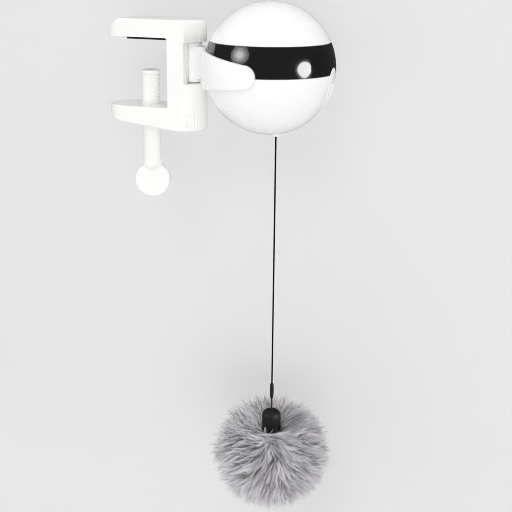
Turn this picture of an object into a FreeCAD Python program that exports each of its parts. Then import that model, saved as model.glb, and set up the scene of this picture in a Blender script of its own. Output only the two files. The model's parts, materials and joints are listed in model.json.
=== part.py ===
import FreeCAD, Part
import math
import os
import Sketcher

# Electric cat ball: a table clamp carries a swivelling cradle, the cradle holds a battery-driven
# ball, and a drum inside the ball winds a line that lifts and lowers a fur lure.
# Millimetres, +Z up. The origin is the centre of the upper jaw pad's lower face, the jaws point
# towards -X and the ball hangs on the +X side. Pieces of the ball are drawn about the ball's
# centre and placed from there.

# Driving sizes: name, value, what it is.
SIZES = [
    ("ball_radius", 41.5, "outside of the ball"),
    ("shell_wall", 2.4, "wall of the lower shell"),
    ("dome_wall", 2.0, "wall of the top dome"),
    ("band_wall", 1.6, "wall of the dark band"),
    ("band_low", 1.96, "lower edge of the band below the ball's centre"),
    ("band_high", 16.68, "upper edge of the band above the ball's centre"),
    ("ball_ahead", 80.5, "ball's centre ahead of the pad's centre"),
    ("ball_drop", 15.5, "ball's centre below the pad's face"),
    ("seam_chamfer", 0.3, "chamfer along the ball's seams"),
    ("fit_gap", 0.05, "radial running clearance"),
    ("slip_gap", 0.3, "clearance between curved faces that slide"),
    ("jaw_width", 29.0, "width of the clamp"),
    ("jaw_reach", 46.5, "jaw tips from the column's inner face"),
    ("column_face", 16.0, "column's inner face ahead of the pad's centre"),
    ("column_depth", 20.5, "column from its inner face to its round back"),
    ("upper_jaw", 11.4, "thickness of the upper jaw"),
    ("upper_nose", 10.0, "radius over the upper jaw's tip"),
    ("jaw_gap", 42.8, "pad's face down to the lower jaw"),
    ("lower_jaw", 15.2, "thickness of the lower jaw at the column"),
    ("lower_tip", 9.5, "thickness of the lower jaw at its tip"),
    ("inner_fillet", 1.5, "radius in the corners of the jaw opening"),
    ("frame_round", 1.4, "edge radius of the clamp frame"),
    ("pad_length", 27.0, "jaw pad along the jaw"),
    ("pad_width", 22.0, "jaw pad across the jaw"),
    ("pad_thick", 2.8, "thickness of the jaw pad"),
    ("pad_seat", 1.2, "depth of the pad's pocket in the jaw"),
    ("screw_ahead", -2.5, "screw's axis ahead of the pad's centre"),
    ("screw_radius", 5.95, "thread of the clamp screw"),
    ("tip_drop", 20.3, "screw's tip below the pad's face"),
    ("tip_disc", 2.6, "thickness of the swivel disc on the tip"),
    ("tip_stud", 2.0, "radius of the swivel disc's stud"),
    ("tip_stud_length", 4.0, "length of the swivel disc's stud"),
    ("thread_drop", 74.6, "end of the thread below the pad's face"),
    ("stem_flare", 6.55, "stem where it meets the thumb disc"),
    ("stem_drop", 82.0, "foot of the stem below the pad's face"),
    ("thumb_drop", 93.8, "thumb disc's centre below the pad's face"),
    ("thumb_radius", 12.0, "thumb disc"),
    ("thumb_thick", 7.0, "thickness of the thumb disc"),
    ("thumb_round", 2.2, "edge radius of the thumb disc"),
    ("thumb_turn", 20.0, "turn of the thumb disc at rest, degrees"),
    ("pivot_ahead", 28.5, "cradle's pivot ahead of the pad's centre"),
    ("pivot_radius", 2.0, "pivot pin"),
    ("barrel_radius", 5.5, "cradle's pivot barrel"),
    ("barrel_room", 0.6, "room round the barrel in the column"),
    ("window_high", 0.9, "window's upper edge below the pad's face"),
    ("window_low", 27.1, "window's lower edge below the pad's face"),
    ("window_ahead", 27.0, "window's inner face ahead of the pad's centre"),
    ("washer_thick", 0.8, "pivot washers"),
    ("washer_radius", 5.0, "pivot washers"),
    ("pin_top_seat", 8.0, "pin's length in the column above the window"),
    ("foot_high", 12.0, "height of the pivot foot"),
    ("foot_ahead", 24.5, "pivot foot's inner face ahead of the pad's centre"),
    ("foot_pin_seat", 7.0, "pin's length in the pivot foot"),
    ("grip_width", 1.1, "grip rib on the pivot foot"),
    ("grip_proud", 0.5, "height of the grip ribs"),
    ("grip_length", 8.5, "length of the grip ribs"),
    ("grip_pitch", 9.0, "angle between grip ribs, degrees"),
    ("grip_first", 27.0, "angle of the first grip rib, degrees"),
    ("cradle_wall", 2.7, "wall of the cradle's arms"),
    ("arm_reach", 1.9, "centre of the arm's round tip behind the ball's centre"),
    ("arm_sag", 1.2, "centre of the arm's round tip below the ball's centre"),
    ("arm_tip", 7.3, "radius of the arm's round tip"),
    ("arm_top_back", 13.2, "arm's upper edge at the back above the ball's centre"),
    ("arm_low_back", 13.8, "arm's lower edge at the back below the ball's centre"),
    ("arm_round", 1.1, "edge radius of the cradle's arms"),
    ("neck_width", 10.0, "cradle's neck"),
    ("neck_high", 20.0, "height of the cradle's neck"),
    ("tab_radius", 6.25, "round top of the shell's tabs"),
    ("tab_high", 2.4, "top of the tabs above the ball's centre"),
    ("tab_thick", 2.3, "thickness of the tabs"),
    ("groove_width", 18.0, "finger grooves in the lower shell"),
    ("groove_top", 7.85, "top of the grooves below the ball's centre"),
    ("groove_deep", 1.6, "depth setting of the grooves"),
    ("groove_shift", 1.85, "drop of the groove floor's centre"),
    ("rib_width", 1.4, "rib in the middle of each groove"),
    ("rib_sink", 0.5, "rib below the ball's surface"),
    ("neck_inset", 5.1, "outside of the shell's collar inside the ball"),
    ("neck_wall", 2.2, "wall of the shell's collar"),
    ("neck_top", 15.2, "top of the collar above the ball's centre"),
    ("ledge_thick", 2.6, "ledge that carries the collar"),
    ("spigot_wall", 1.5, "wall of the dome's spigot"),
    ("spigot_low", 9.6, "foot of the spigot above the ball's centre"),
    ("flange_thick", 1.5, "flange between dome and spigot"),
    ("lug_width", 6.0, "bayonet lug"),
    ("lug_high", 1.8, "height of the bayonet lugs"),
    ("lug_proud", 1.0, "reach of the bayonet lugs past the spigot"),
    ("lug_room", 0.3, "room round the bayonet lugs"),
    ("lug_count", 3, "bayonet lugs"),
    ("dome_turn", 30.0, "turn that frees the dome, degrees"),
    ("chassis_low", 2.5, "underside of the chassis above the ball's centre"),
    ("chassis_thick", 2.0, "thickness of the chassis"),
    ("chassis_inset", 7.9, "edge of the chassis disc inside the ball"),
    ("pillar_inset", 11.5, "circle of the chassis pillars inside the ball"),
    ("pillar_radius", 3.0, "chassis pillars"),
    ("pillar_angle", 50.0, "pillars to each side of the X axis, degrees"),
    ("gear_module", 0.6, "module of the gears"),
    ("wheel_teeth", 40, "teeth of the large gears"),
    ("pinion_teeth", 10, "teeth of the small gears"),
    ("tooth_shift", 0.5, "profile shift of the small gears"),
    ("tooth_backlash", 0.05, "thinning of each tooth"),
    ("eyelet_ahead", 6.0, "line's exit ahead of the ball's centre"),
    ("eyelet_aside", -4.0, "line's exit across the ball"),
    ("line_width", 1.1, "line's diameter"),
    ("drum_radius", 8.0, "drum's barrel"),
    ("drum_flange", 10.6, "drum's flanges"),
    ("drum_width", 7.0, "winding width"),
    ("drum_rim", 1.2, "thickness of the drum's flanges"),
    ("wound_width", 2.9, "turns left on the drum with the lure down"),
    ("drum_drop", 21.0, "drum's axle below the ball's centre"),
    ("second_stage", 60.0, "direction from drum to idler, degrees from upright"),
    ("first_stage", -60.0, "direction from idler to motor, degrees from upright"),
    ("gear_face", 3.4, "face width of the drum gear"),
    ("idler_face", 2.8, "face width of the idler's large gear"),
    ("gear_gap", 0.5, "side gap between gears and plates"),
    ("axle_radius", 1.0, "steel axles"),
    ("plate_thick", 1.6, "drive plates"),
    ("plate_round", 3.6, "corner radius of the drive plates"),
    ("post_radius", 2.2, "posts between the drive plates"),
    ("post_high_drop", 1.6, "upper posts below the ball's centre"),
    ("post_low_drop", 29.2, "lower posts below the ball's centre"),
    ("post_high_behind", 12.5, "upper post behind the ball's centre"),
    ("post_high_ahead", 19.5, "upper post ahead of the ball's centre"),
    ("post_low_ahead", 14.5, "lower post ahead of the ball's centre"),
    ("post_low_behind", 15.8, "lower post behind the ball's centre"),
    ("web_high", 3.0, "web between the near plate and the chassis"),
    ("web_sink", 0.1, "web's seat in the chassis"),
    ("plate_screw", 0.9, "screws of the drive plates"),
    ("plate_screw_length", 6.0, "drive plate's screws below the plate"),
    ("screw_spare", 1.0, "depth of a screw hole past its screw"),
    ("board_screw_length", 3.5, "board screws in their pillars"),
    ("motor_width", 12.0, "motor across its round sides"),
    ("motor_high", 10.0, "motor across its flats"),
    ("motor_length", 15.0, "motor can"),
    ("motor_boss", 2.0, "motor's bearing boss"),
    ("motor_tail", 0.8, "motor's rear bearing boss"),
    ("motor_screw", 0.8, "motor's screws"),
    ("motor_screw_head", 1.4, "heads of the motor's screws"),
    ("motor_screw_depth", 1.5, "motor's screws in the can"),
    ("motor_screw_aside", 4.5, "motor's screws beside its shaft"),
    ("shaft_hidden", 4.0, "shaft inside the motor can"),
    ("shaft_radius", 0.75, "motor shaft"),
    ("guide_bore", 0.85, "bore of the line guide"),
    ("guide_radius", 2.6, "line guide"),
    ("guide_flange", 4.0, "flange of the line guide"),
    ("guide_flare", 1.7, "mouth of the line guide"),
    ("guide_lip", 0.9, "line guide's lip outside the shell"),
    ("guide_seat", 4.0, "guide's flange above the bottom of the ball"),
    ("guide_flange_thick", 1.2, "flange of the line guide"),
    ("guide_mouth", 2.0, "depth of the guide's flared mouth"),
    ("guide_land", 0.8, "shell's boss round the guide's flange"),
    ("button_radius", 3.5, "power button"),
    ("button_aside", 17.0, "power button across the ball"),
    ("button_gap", 0.12, "clearance round the power button"),
    ("button_proud", 0.5, "power button past the shell"),
    ("button_depth", 7.3, "button's seat above the bottom of the ball"),
    ("switch_press", 0.8, "plunger's travel inside the switch"),
    ("button_flange", 4.7, "button's flange"),
    ("button_flange_thick", 1.0, "button's flange"),
    ("button_boss", 6.4, "boss round the power button"),
    ("plunger_radius", 1.7, "switch plunger"),
    ("plunger_length", 2.8, "switch plunger"),
    ("switch_side", 6.0, "push switch"),
    ("switch_high", 3.5, "push switch"),
    ("board_thick", 1.2, "circuit boards"),
    ("switch_board_length", 22.0, "switch board"),
    ("switch_board_width", 9.0, "switch board"),
    ("board_pillar", 1.8, "switch board's pillars"),
    ("board_pillar_span", 17.0, "distance between the switch board's pillars"),
    ("main_board_length", 28.0, "main board"),
    ("main_board_width", 13.0, "main board"),
    ("main_board_aside", -19.4, "main board across the ball"),
    ("main_board_drop", 3.6, "main board's underside below the ball's centre"),
    ("main_post_span", 22.0, "distance between the main board's posts"),
    ("chip_length", 9.0, "control chip"),
    ("chip_width", 6.0, "control chip"),
    ("chip_high", 1.8, "control chip"),
    ("cell_radius", 5.25, "AAA cell"),
    ("cell_length", 43.3, "AAA cell without its nub"),
    ("cell_nub", 1.2, "nub of the cell"),
    ("cell_nub_radius", 1.9, "nub of the cell"),
    ("cell_count", 3, "cells"),
    ("cell_pitch", 10.9, "distance between cells"),
    ("contact_room", 6.7, "tray's length beyond a cell's can"),
    ("tray_clear", 0.4, "tray's corners inside the dome's spigot"),
    ("tray_wall", 1.4, "walls of the battery tray"),
    ("tray_floor", 1.5, "floor of the battery tray"),
    ("tray_high", 11.5, "height of the battery tray"),
    ("tray_ear", 3.2, "screw ears of the battery tray"),
    ("tray_ear_aside", 21.3, "screw ears across the tray"),
    ("contact_thick", 0.4, "battery contacts"),
    ("contact_width", 8.0, "battery contacts"),
    ("contact_high", 8.5, "battery contacts"),
    ("spring_radius", 3.2, "battery springs at the plate"),
    ("spring_tip", 1.8, "battery springs at the cell"),
    ("small_screw", 1.0, "small screws"),
    ("small_head", 1.9, "heads of the small screws"),
    ("small_head_high", 1.2, "heads of the small screws"),
    ("small_screw_length", 6.0, "small screws"),
    ("line_free", 171.5, "free line from the guide to the sleeve"),
    ("line_start", 0.3, "line's top above the guide's mouth"),
    ("line_break", 0.25, "between the free line and the line inside the ball"),
    ("sleeve_radius", 1.35, "sleeve on the line"),
    ("sleeve_length", 11.5, "sleeve on the line"),
    ("loop_wire", 0.35, "wire of the lure's loop"),
    ("loop_length", 8.0, "lure's loop from sleeve to cap"),
    ("cap_radius", 6.5, "lure's cap"),
    ("cap_high", 15.5, "lure's cap"),
    ("cap_dome", 4.2, "domed top of the cap"),
    ("cap_sink", 17.0, "cap's foot above the fur's centre"),
    ("fur_radius", 36.5, "dense body of the fur ball"),
    ("fur_spread", 1.9, "hollow round the cap, run for each mm of rise"),
    ("fur_rim", 6.0, "round of the hollow's rim"),
    ("core_radius", 5.2, "lure's core"),
    ("core_length", 27.2, "lure's core under the cap"),
    ("wire_radius", 0.5, "insulated wires"),
    ("wire_bend", 2.4, "bends of the wires"),
    ("wire_high", 0.8, "wires under the chassis above the ball's centre"),
]

doc = FreeCAD.newDocument("cat_ball")
dims = doc.addObject("Spreadsheet::Sheet", "dims")
for row, (alias, value, meaning) in enumerate(SIZES, start=1):
    dims.set(f"A{row}", meaning)
    dims.set(f"B{row}", str(value))
    dims.setAlias(f"B{row}", alias)
doc.recompute()

PIECES = []
UPRIGHT = FreeCAD.Rotation()
AXIS_TURNS = {
    "X": FreeCAD.Rotation(FreeCAD.Vector(0, 1, 0), 90),
    "Y": FreeCAD.Rotation(FreeCAD.Vector(1, 0, 0), -90),
    "Z": UPRIGHT,
}
BALL_CENTRE = ("dims.ball_ahead", "0", "-dims.ball_drop")


def value(expression):
    """Number that a sheet expression gives now."""
    result = dims.evalExpression(expression)
    return float(getattr(result, "Value", result))


def bind(obj, expressions):
    """Bind properties of an object to sheet expressions."""
    for name, expression in expressions.items():
        obj.setExpression(name, expression)
    return obj


def place(obj, at, turn=UPRIGHT):
    """Bind an object's place to three sheet expressions."""
    obj.Placement = FreeCAD.Placement(FreeCAD.Vector(), turn)
    for axis, expression in zip("xyz", at):
        obj.setExpression(f"Placement.Base.{axis}", expression)
    return obj


def cylinder(name, radius, height, at=("0", "0", "0"), axis="Z"):
    """Cylinder that grows from its place along +X, +Y or +Z."""
    obj = doc.addObject("Part::Cylinder", name)
    bind(obj, {"Radius": radius, "Height": height})
    return place(obj, at, AXIS_TURNS[axis])


def cone(name, radius, end_radius, height, at=("0", "0", "0"), axis="Z"):
    """Cone that grows from its place along an axis."""
    obj = doc.addObject("Part::Cone", name)
    bind(obj, {"Radius1": radius, "Radius2": end_radius, "Height": height})
    return place(obj, at, AXIS_TURNS[axis])


def box(name, size, middle, low):
    """Box centred on middle (x, y), standing on the height low."""
    obj = doc.addObject("Part::Box", name)
    bind(obj, {"Length": size[0], "Width": size[1], "Height": size[2]})
    corner = (f"{middle[0]} - ({size[0]}) / 2", f"{middle[1]} - ({size[1]}) / 2", low)
    return place(obj, corner)


def sphere(name, radius, low=None, high=None, at=("0", "0", "0")):
    """Ball, or its slice between two heights measured from its own centre."""
    obj = doc.addObject("Part::Sphere", name)
    obj.setExpression("Radius", radius)
    if low:
        obj.setExpression("Angle1", f"asin(({low}) / ({radius}))")
    if high:
        obj.setExpression("Angle2", f"asin(({high}) / ({radius}))")
    return place(obj, at)


def fuse(name, *shapes):
    """One solid out of several."""
    obj = doc.addObject("Part::MultiFuse", name)
    obj.Shapes = list(shapes)
    obj.Refine = True
    return obj


def group(name, *shapes):
    """Several separate solids kept as one object."""
    obj = doc.addObject("Part::Compound", name)
    obj.Links = list(shapes)
    return obj


def cut(name, base, *tools):
    """Base without the tools."""
    obj = doc.addObject("Part::Cut", name)
    obj.Base = base
    obj.Tool = tools[0] if len(tools) == 1 else fuse(f"{name}_tools", *tools)
    obj.Refine = True
    return obj


def common(name, first, second):
    """What two solids share."""
    obj = doc.addObject("Part::Common", name)
    obj.Base = first
    obj.Tool = second
    obj.Refine = True
    return obj


def turned(name, obj, angle, at=("0", "0", "0")):
    """Copy of an object turned about the vertical through a point, angle as an expression."""
    link = doc.addObject("Part::Compound", name)
    link.Links = [obj]
    place(link, at)
    bind(link, {"Placement.Rotation.Angle": angle})
    link.Placement.Rotation.Axis = FreeCAD.Vector(0, 0, 1)
    return link


def rounded(name, base, radius, pick, chamfer=False):
    """Fillet or chamfer the edges of base that pick accepts."""
    doc.recompute()
    obj = doc.addObject("Part::Chamfer" if chamfer else "Part::Fillet", name)
    obj.Base = base
    size = value(radius)
    chosen = [i for i, edge in enumerate(base.Shape.Edges, start=1) if pick(edge)]
    obj.Edges = [(i, size, size) for i in chosen]
    return obj


def swept_round(name, base, radius_at):
    """Fillet whose radius changes along its edges: radius_at(edge, point), or None to skip."""
    doc.recompute()
    obj = doc.addObject("Part::Fillet", name)
    obj.Base = base
    sizes = []
    for i, edge in enumerate(base.Shape.Edges, start=1):
        ends = [edge.valueAt(edge.FirstParameter), edge.valueAt(edge.LastParameter)]
        radii = [radius_at(edge, point) for point in ends]
        if None not in radii:
            sizes.append((i, *radii))
    obj.Edges = sizes
    return obj


def finish(label, obj, at=None):
    """Name a sub-part, place it and add it to the list that is written out."""
    piece = doc.addObject("Part::Compound", f"{label}_piece")
    piece.Links = [obj]
    piece.Label = label
    if at:
        place(piece, at)
    PIECES.append(piece)
    return piece


def body_plane(body, role):
    """Origin plane of a body by its role."""
    return next(plane for plane in body.Origin.OriginFeatures if plane.Role == role)


def outline(body, name, role, points, arcs=None):
    """Closed sketch through points given as expressions.

    arcs maps a side's index to (radius expression, +1 when it bulges left of the side, else -1).
    """
    sketch = body.newObject("Sketcher::SketchObject", name)
    sketch.AttachmentSupport = (body_plane(body, role), "")
    sketch.MapMode = "FlatFace"
    arcs = arcs or {}
    flat = [FreeCAD.Vector(value(x), value(y), 0) for x, y in points]
    starts = []
    ends = []
    for i, start in enumerate(flat):
        end = flat[(i + 1) % len(flat)]
        if i not in arcs:
            sketch.addGeometry(Part.LineSegment(start, end), False)
            starts.append((i, 1))
            ends.append((i, 2))
            continue
        radius, bulge = arcs[i]
        chord = end - start
        left = FreeCAD.Vector(-chord.y, chord.x, 0).normalize()
        drop = math.sqrt(max(value(radius) ** 2 - (chord.Length / 2) ** 2, 0.0))
        centre = (start + end) / 2 - left * drop * bulge
        first, last = (end, start) if bulge > 0 else (start, end)
        angles = [math.atan2(p.y - centre.y, p.x - centre.x) for p in (first, last)]
        circle = Part.Circle(centre, FreeCAD.Vector(0, 0, 1), value(radius))
        sketch.addGeometry(Part.ArcOfCircle(circle, angles[0], angles[1]), False)
        starts.append((i, 2 if bulge > 0 else 1))
        ends.append((i, 1 if bulge > 0 else 2))
        radial = sketch.addConstraint(Sketcher.Constraint("Radius", i, value(radius)))
        sketch.renameConstraint(radial, f"radius_{i}")
        sketch.setExpression(f"Constraints.radius_{i}", radius)
    for i in range(len(flat)):
        following = starts[(i + 1) % len(flat)]
        sketch.addConstraint(Sketcher.Constraint("Coincident", *ends[i], *following))
    for i, (x, y) in enumerate(points):
        for kind, letter, expression in (("DistanceX", "x", x), ("DistanceY", "y", y)):
            link = Sketcher.Constraint(kind, -1, 1, *starts[i], value(expression))
            sketch.renameConstraint(sketch.addConstraint(link), f"{letter}_{i}")
            sketch.setExpression(f"Constraints.{letter}_{i}", expression)
    return sketch


def padded(body, name, sketch, length):
    """Pad of a sketch, as far to each side of its plane."""
    pad = body.newObject("PartDesign::Pad", name)
    pad.Profile = sketch
    pad.Midplane = True
    pad.setExpression("Length", length)
    return pad


def revolved(label, points, arcs=None):
    """Body turned about Z from a half outline of (radius, height) points."""
    body = doc.addObject("PartDesign::Body", f"{label}_body")
    sketch = outline(body, f"{label}_outline", "XZ_Plane", points, arcs)
    turn = body.newObject("PartDesign::Revolution", f"{label}_turn")
    turn.Profile = sketch
    turn.ReferenceAxis = (sketch, ["V_Axis"])
    turn.Angle = 360
    return body


# Derived places, each worked out from the sizes above.
ARM_UNDER = "(dims.pad_thick - dims.pad_seat)"
CLAMP_TOP = f"({ARM_UNDER} + dims.upper_jaw)"
JAW_TOP = "(-dims.jaw_gap)"
CLAMP_LOW = "(-dims.jaw_gap - dims.lower_jaw)"
CLAMP_HIGH = f"({CLAMP_TOP} - {CLAMP_LOW})"
TIP_X = "(dims.column_face - dims.jaw_reach)"
NOSE_RADIUS = "(dims.jaw_width / 2)"
BACK_CENTRE = f"(dims.column_face + dims.column_depth - {NOSE_RADIUS})"
SCREW_BORE = "(dims.screw_radius + dims.fit_gap)"
WINDOW_HIGH = "(dims.window_low - dims.window_high)"
PIN_LOW = f"({CLAMP_LOW} + dims.foot_high - dims.foot_pin_seat)"
PIN_TOP = "(dims.pin_top_seat - dims.window_high)"

# Heights inside the ball are from its centre.
NECK_OUTER = "(dims.ball_radius - dims.neck_inset)"
NECK_INNER = f"({NECK_OUTER} - dims.neck_wall)"
SPIGOT_OUTER = f"({NECK_INNER} - dims.slip_gap)"
SPIGOT_INNER = f"({SPIGOT_OUTER} - dims.spigot_wall)"
PILLAR_RING = "(dims.ball_radius - dims.pillar_inset)"
BUTTON_SEAT = "(dims.button_depth - dims.ball_radius)"
BUTTON_AT = ("0", "dims.button_aside")
PLUNGER_LOW = f"({BUTTON_SEAT} + dims.button_flange_thick)"
SWITCH_TOP = f"({PLUNGER_LOW} + dims.plunger_length - dims.switch_press)"
SWITCH_BOARD_LOW = f"({SWITCH_TOP} + dims.switch_high)"
GUIDE_AT = ("dims.eyelet_ahead", "dims.eyelet_aside")
GUIDE_SEAT = "(dims.guide_seat - dims.ball_radius)"
GUIDE_EDGE = "sqrt(dims.ball_radius^2 - dims.eyelet_ahead^2 - dims.eyelet_aside^2)"
GUIDE_LOW = f"(-{GUIDE_EDGE} - dims.guide_lip)"
TRAY_LOW = "(dims.chassis_low + dims.chassis_thick)"
TRAY_INSIDE = "(dims.cell_length + dims.contact_room)"
TRAY_INSIDE_WIDTH = "(dims.cell_count * dims.cell_pitch)"
TRAY_TOP = f"({TRAY_LOW} + dims.tray_floor)"
CELL_Z = f"({TRAY_LOW} + dims.tray_floor + dims.cell_radius + dims.fit_gap)"
PLATE_FACE = f"({TRAY_INSIDE} / 2 - dims.contact_thick)"
SPRING_LENGTH = "(dims.contact_room - 2 * dims.contact_thick - dims.cell_nub)"
BOARD_TOP = "(dims.board_thick - dims.main_board_drop)"


def jaw_plan(label, low, height, inset="0"):
    """Upright block with the clamp's plan outline: a round nose, straight sides, a round back."""
    body = doc.addObject("PartDesign::Body", f"{label}_body")
    r = f"({NOSE_RADIUS} - {inset})"
    nose = f"({TIP_X} + {NOSE_RADIUS})"
    points = [
        (nose, f"-{r}"),
        (BACK_CENTRE, f"-{r}"),
        (f"{BACK_CENTRE} + {r}", "0"),
        (BACK_CENTRE, r),
        (nose, r),
        (f"{nose} - {r}", "0"),
    ]
    arcs = {1: (r, -1), 2: (r, -1), 4: (r, -1), 5: (r, -1)}
    sketch = outline(body, f"{label}_plan", "XY_Plane", points, arcs)
    pad = body.newObject("PartDesign::Pad", f"{label}_pad")
    pad.Profile = sketch
    pad.setExpression("Length", height)
    place(body, ("0", "0", low))
    return body


def jaw_opening():
    """Block that opens the jaws, with rounded inner corners."""
    body = doc.addObject("PartDesign::Body", "opening_body")
    left = f"({TIP_X} - dims.lower_tip)"
    r = "dims.inner_fillet"
    face = "dims.column_face"
    points = [
        (left, JAW_TOP),
        (f"{face} - {r}", JAW_TOP),
        (face, f"{JAW_TOP} + {r}"),
        (face, f"{ARM_UNDER} - {r}"),
        (f"{face} - {r}", ARM_UNDER),
        (left, ARM_UNDER),
    ]
    sketch = outline(body, "opening_outline", "XZ_Plane", points, {1: (r, -1), 3: (r, -1)})
    padded(body, "opening_pad", sketch, "dims.jaw_width + 10")
    return body


def underside_trim():
    """Wedge that thins the lower jaw towards its tip."""
    body = doc.addObject("PartDesign::Body", "wedge_body")
    tip_low = f"({JAW_TOP} - dims.lower_tip)"
    points = [
        (f"({TIP_X} - dims.lower_tip)", f"({CLAMP_LOW} - dims.lower_tip)"),
        ("dims.foot_ahead", f"({CLAMP_LOW} - dims.lower_tip)"),
        ("dims.foot_ahead", CLAMP_LOW),
        (TIP_X, tip_low),
        (f"({TIP_X} - dims.lower_tip)", tip_low),
    ]
    sketch = outline(body, "wedge_outline", "XZ_Plane", points)
    padded(body, "wedge_pad", sketch, "dims.jaw_width + 10")
    return body


def frame_radius(edge, point):
    """Radius of the frame's outer rims: wide over the noses, narrow along the sides."""
    top = value(CLAMP_TOP)
    nose = value(f"{TIP_X} + 0.5")
    back = value(f"{BACK_CENTRE} + {NOSE_RADIUS} - 0.5")
    foot = value("dims.foot_ahead")
    side = value("dims.frame_round")
    box_ = edge.BoundBox
    if abs(box_.ZMin - top) < 0.01:
        if point.x < nose:
            return value("dims.upper_nose")
        return side + 1 if point.x > back else side
    on_rim = box_.ZMax < value(f"{JAW_TOP} - 1") and box_.ZLength < value("dims.lower_tip")
    if on_rim and box_.XMax < foot + 0.1 and box_.XMin < foot - 0.1:
        return side * 2 if point.x < nose else side
    return None


def clamp_frame():
    """C-shaped frame with a round column that holds the pivot."""
    block = jaw_plan("frame", CLAMP_LOW, CLAMP_HIGH)
    window_size = ("dims.column_depth", "dims.jaw_width + 4", WINDOW_HIGH)
    window = box(
        "window",
        window_size,
        ("dims.window_ahead + dims.column_depth / 2", "0"),
        "-dims.window_low",
    )
    pocket = cylinder(
        "barrel_pocket",
        "dims.barrel_radius + dims.barrel_room",
        WINDOW_HIGH,
        ("dims.pivot_ahead", "0", "-dims.window_low"),
    )
    pin_hole = cylinder(
        "pin_hole",
        "dims.pivot_radius + dims.fit_gap",
        f"{PIN_TOP} - {CLAMP_LOW}",
        ("dims.pivot_ahead", "0", CLAMP_LOW),
    )
    screw_hole = cylinder(
        "screw_hole", SCREW_BORE, "dims.lower_jaw + 4", ("dims.screw_ahead", "0", f"{CLAMP_LOW} - 2")
    )
    pad_pocket = box(
        "pad_pocket",
        ("dims.pad_length", "dims.pad_width", "dims.pad_seat + 1"),
        ("0", "0"),
        f"{ARM_UNDER} - 1",
    )
    foot_room = box(
        "foot_room",
        ("dims.column_depth", "dims.jaw_width + 4", "dims.foot_high + 2"),
        ("dims.foot_ahead + dims.column_depth / 2", "0"),
        f"{CLAMP_LOW} - 2",
    )
    shaped = cut("frame_cut", block, underside_trim(), foot_room)
    soft = swept_round("frame_soft", shaped, frame_radius)
    bored = cut(
        "frame_bored", soft, jaw_opening(), window, pocket, pin_hole, screw_hole, pad_pocket
    )
    finish("clamp_frame", bored)


def jaw_pad():
    """Rubber pad in the upper jaw."""
    pad = box(
        "pad_block", ("dims.pad_length", "dims.pad_width", "dims.pad_thick"), ("0", "0"), "0"
    )
    finish("jaw_pad", pad)


def clamp_screw():
    """Screw with its stem and thumb disc in one moulding."""
    tip = "(-dims.tip_drop - dims.tip_disc - dims.fit_gap)"
    stem_end = "-dims.thumb_drop + dims.thumb_radius / 2"
    shank = revolved(
        "shank",
        [
            ("0", stem_end),
            ("dims.thumb_thick / 2", stem_end),
            ("dims.stem_flare", "-dims.stem_drop"),
            ("dims.screw_radius", "-dims.thread_drop"),
            ("dims.screw_radius", f"{tip} - 0.6"),
            ("dims.screw_radius - 0.6", tip),
            ("0", tip),
        ],
    )
    socket = cylinder(
        "stud_socket",
        "dims.tip_stud + dims.fit_gap",
        "dims.tip_stud_length + 0.5",
        ("0", "0", f"{tip} - dims.tip_stud_length - 0.5"),
    )
    disc = cylinder(
        "thumb_disc",
        "dims.thumb_radius",
        "dims.thumb_thick",
        ("0", "-dims.thumb_thick / 2", "-dims.thumb_drop"),
        "Y",
    )
    soft_disc = rounded("thumb_soft", disc, "dims.thumb_round", lambda edge: edge.Closed)
    whole = cut("screw_whole", fuse("screw_fused", shank, soft_disc), socket)
    finish("clamp_screw", turned("screw_turned", whole, "dims.thumb_turn"), ("dims.screw_ahead", "0", "0"))


def screw_tip_disc():
    """Swivel disc that presses on the table from below."""
    low = "(-dims.tip_drop - dims.tip_disc)"
    stud_low = f"({low} - dims.tip_stud_length)"
    disc = revolved(
        "tip_disc",
        [
            ("0", stud_low),
            ("dims.tip_stud", stud_low),
            ("dims.tip_stud", low),
            ("dims.screw_radius", low),
            ("dims.screw_radius", "-dims.tip_drop - 0.5"),
            ("dims.screw_radius - 0.5", "-dims.tip_drop"),
            ("0", "-dims.tip_drop"),
        ],
    )
    finish("screw_tip_disc", disc, ("dims.screw_ahead", "0", "0"))


def pivot_pin():
    """Steel pin that the cradle swings on."""
    pin = cylinder("pin", "dims.pivot_radius", f"{PIN_TOP} - {PIN_LOW}", ("dims.pivot_ahead", "0", PIN_LOW))
    finish("pivot_pin", pin)


def pivot_foot():
    """Round foot that closes the column and holds the pin's lower end, with grip ribs."""
    block = jaw_plan("foot", CLAMP_LOW, "dims.foot_high")
    doc.recompute()
    lower_rim = rounded(
        "foot_soft",
        block,
        "dims.frame_round + 1",
        lambda edge: abs(edge.BoundBox.ZMax - value(CLAMP_LOW)) < 0.01,
    )
    keep = box(
        "foot_keep",
        ("dims.column_depth", "dims.jaw_width + 4", "dims.foot_high + 4"),
        ("dims.foot_ahead + dims.column_depth / 2", "0"),
        f"{CLAMP_LOW} - 2",
    )
    ribs = []
    rib_ring = f"({NOSE_RADIUS} - dims.grip_width / 2 + dims.grip_proud / 2)"
    for side in (-1, 1):
        for i in range(4):
            angle = f"({side} * (90 - dims.grip_first - {i} * dims.grip_pitch))"
            rib = cylinder(
                f"grip_{side + 1}_{i}",
                "dims.grip_width / 2 + dims.grip_proud / 2",
                "dims.grip_length",
                (
                    f"{BACK_CENTRE} + cos({angle}) * {rib_ring}",
                    f"sin({angle}) * {rib_ring}",
                    f"{CLAMP_LOW} + dims.foot_high - dims.grip_length - 0.5",
                ),
            )
            ribs.append(rib)
    foot = fuse("foot_fused", common("foot_part", lower_rim, keep), *ribs)
    hole = cylinder(
        "foot_hole",
        "dims.pivot_radius + dims.fit_gap",
        "dims.foot_high",
        ("dims.pivot_ahead", "0", PIN_LOW),
    )
    finish("pivot_foot", cut("foot_bored", foot, hole))


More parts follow.
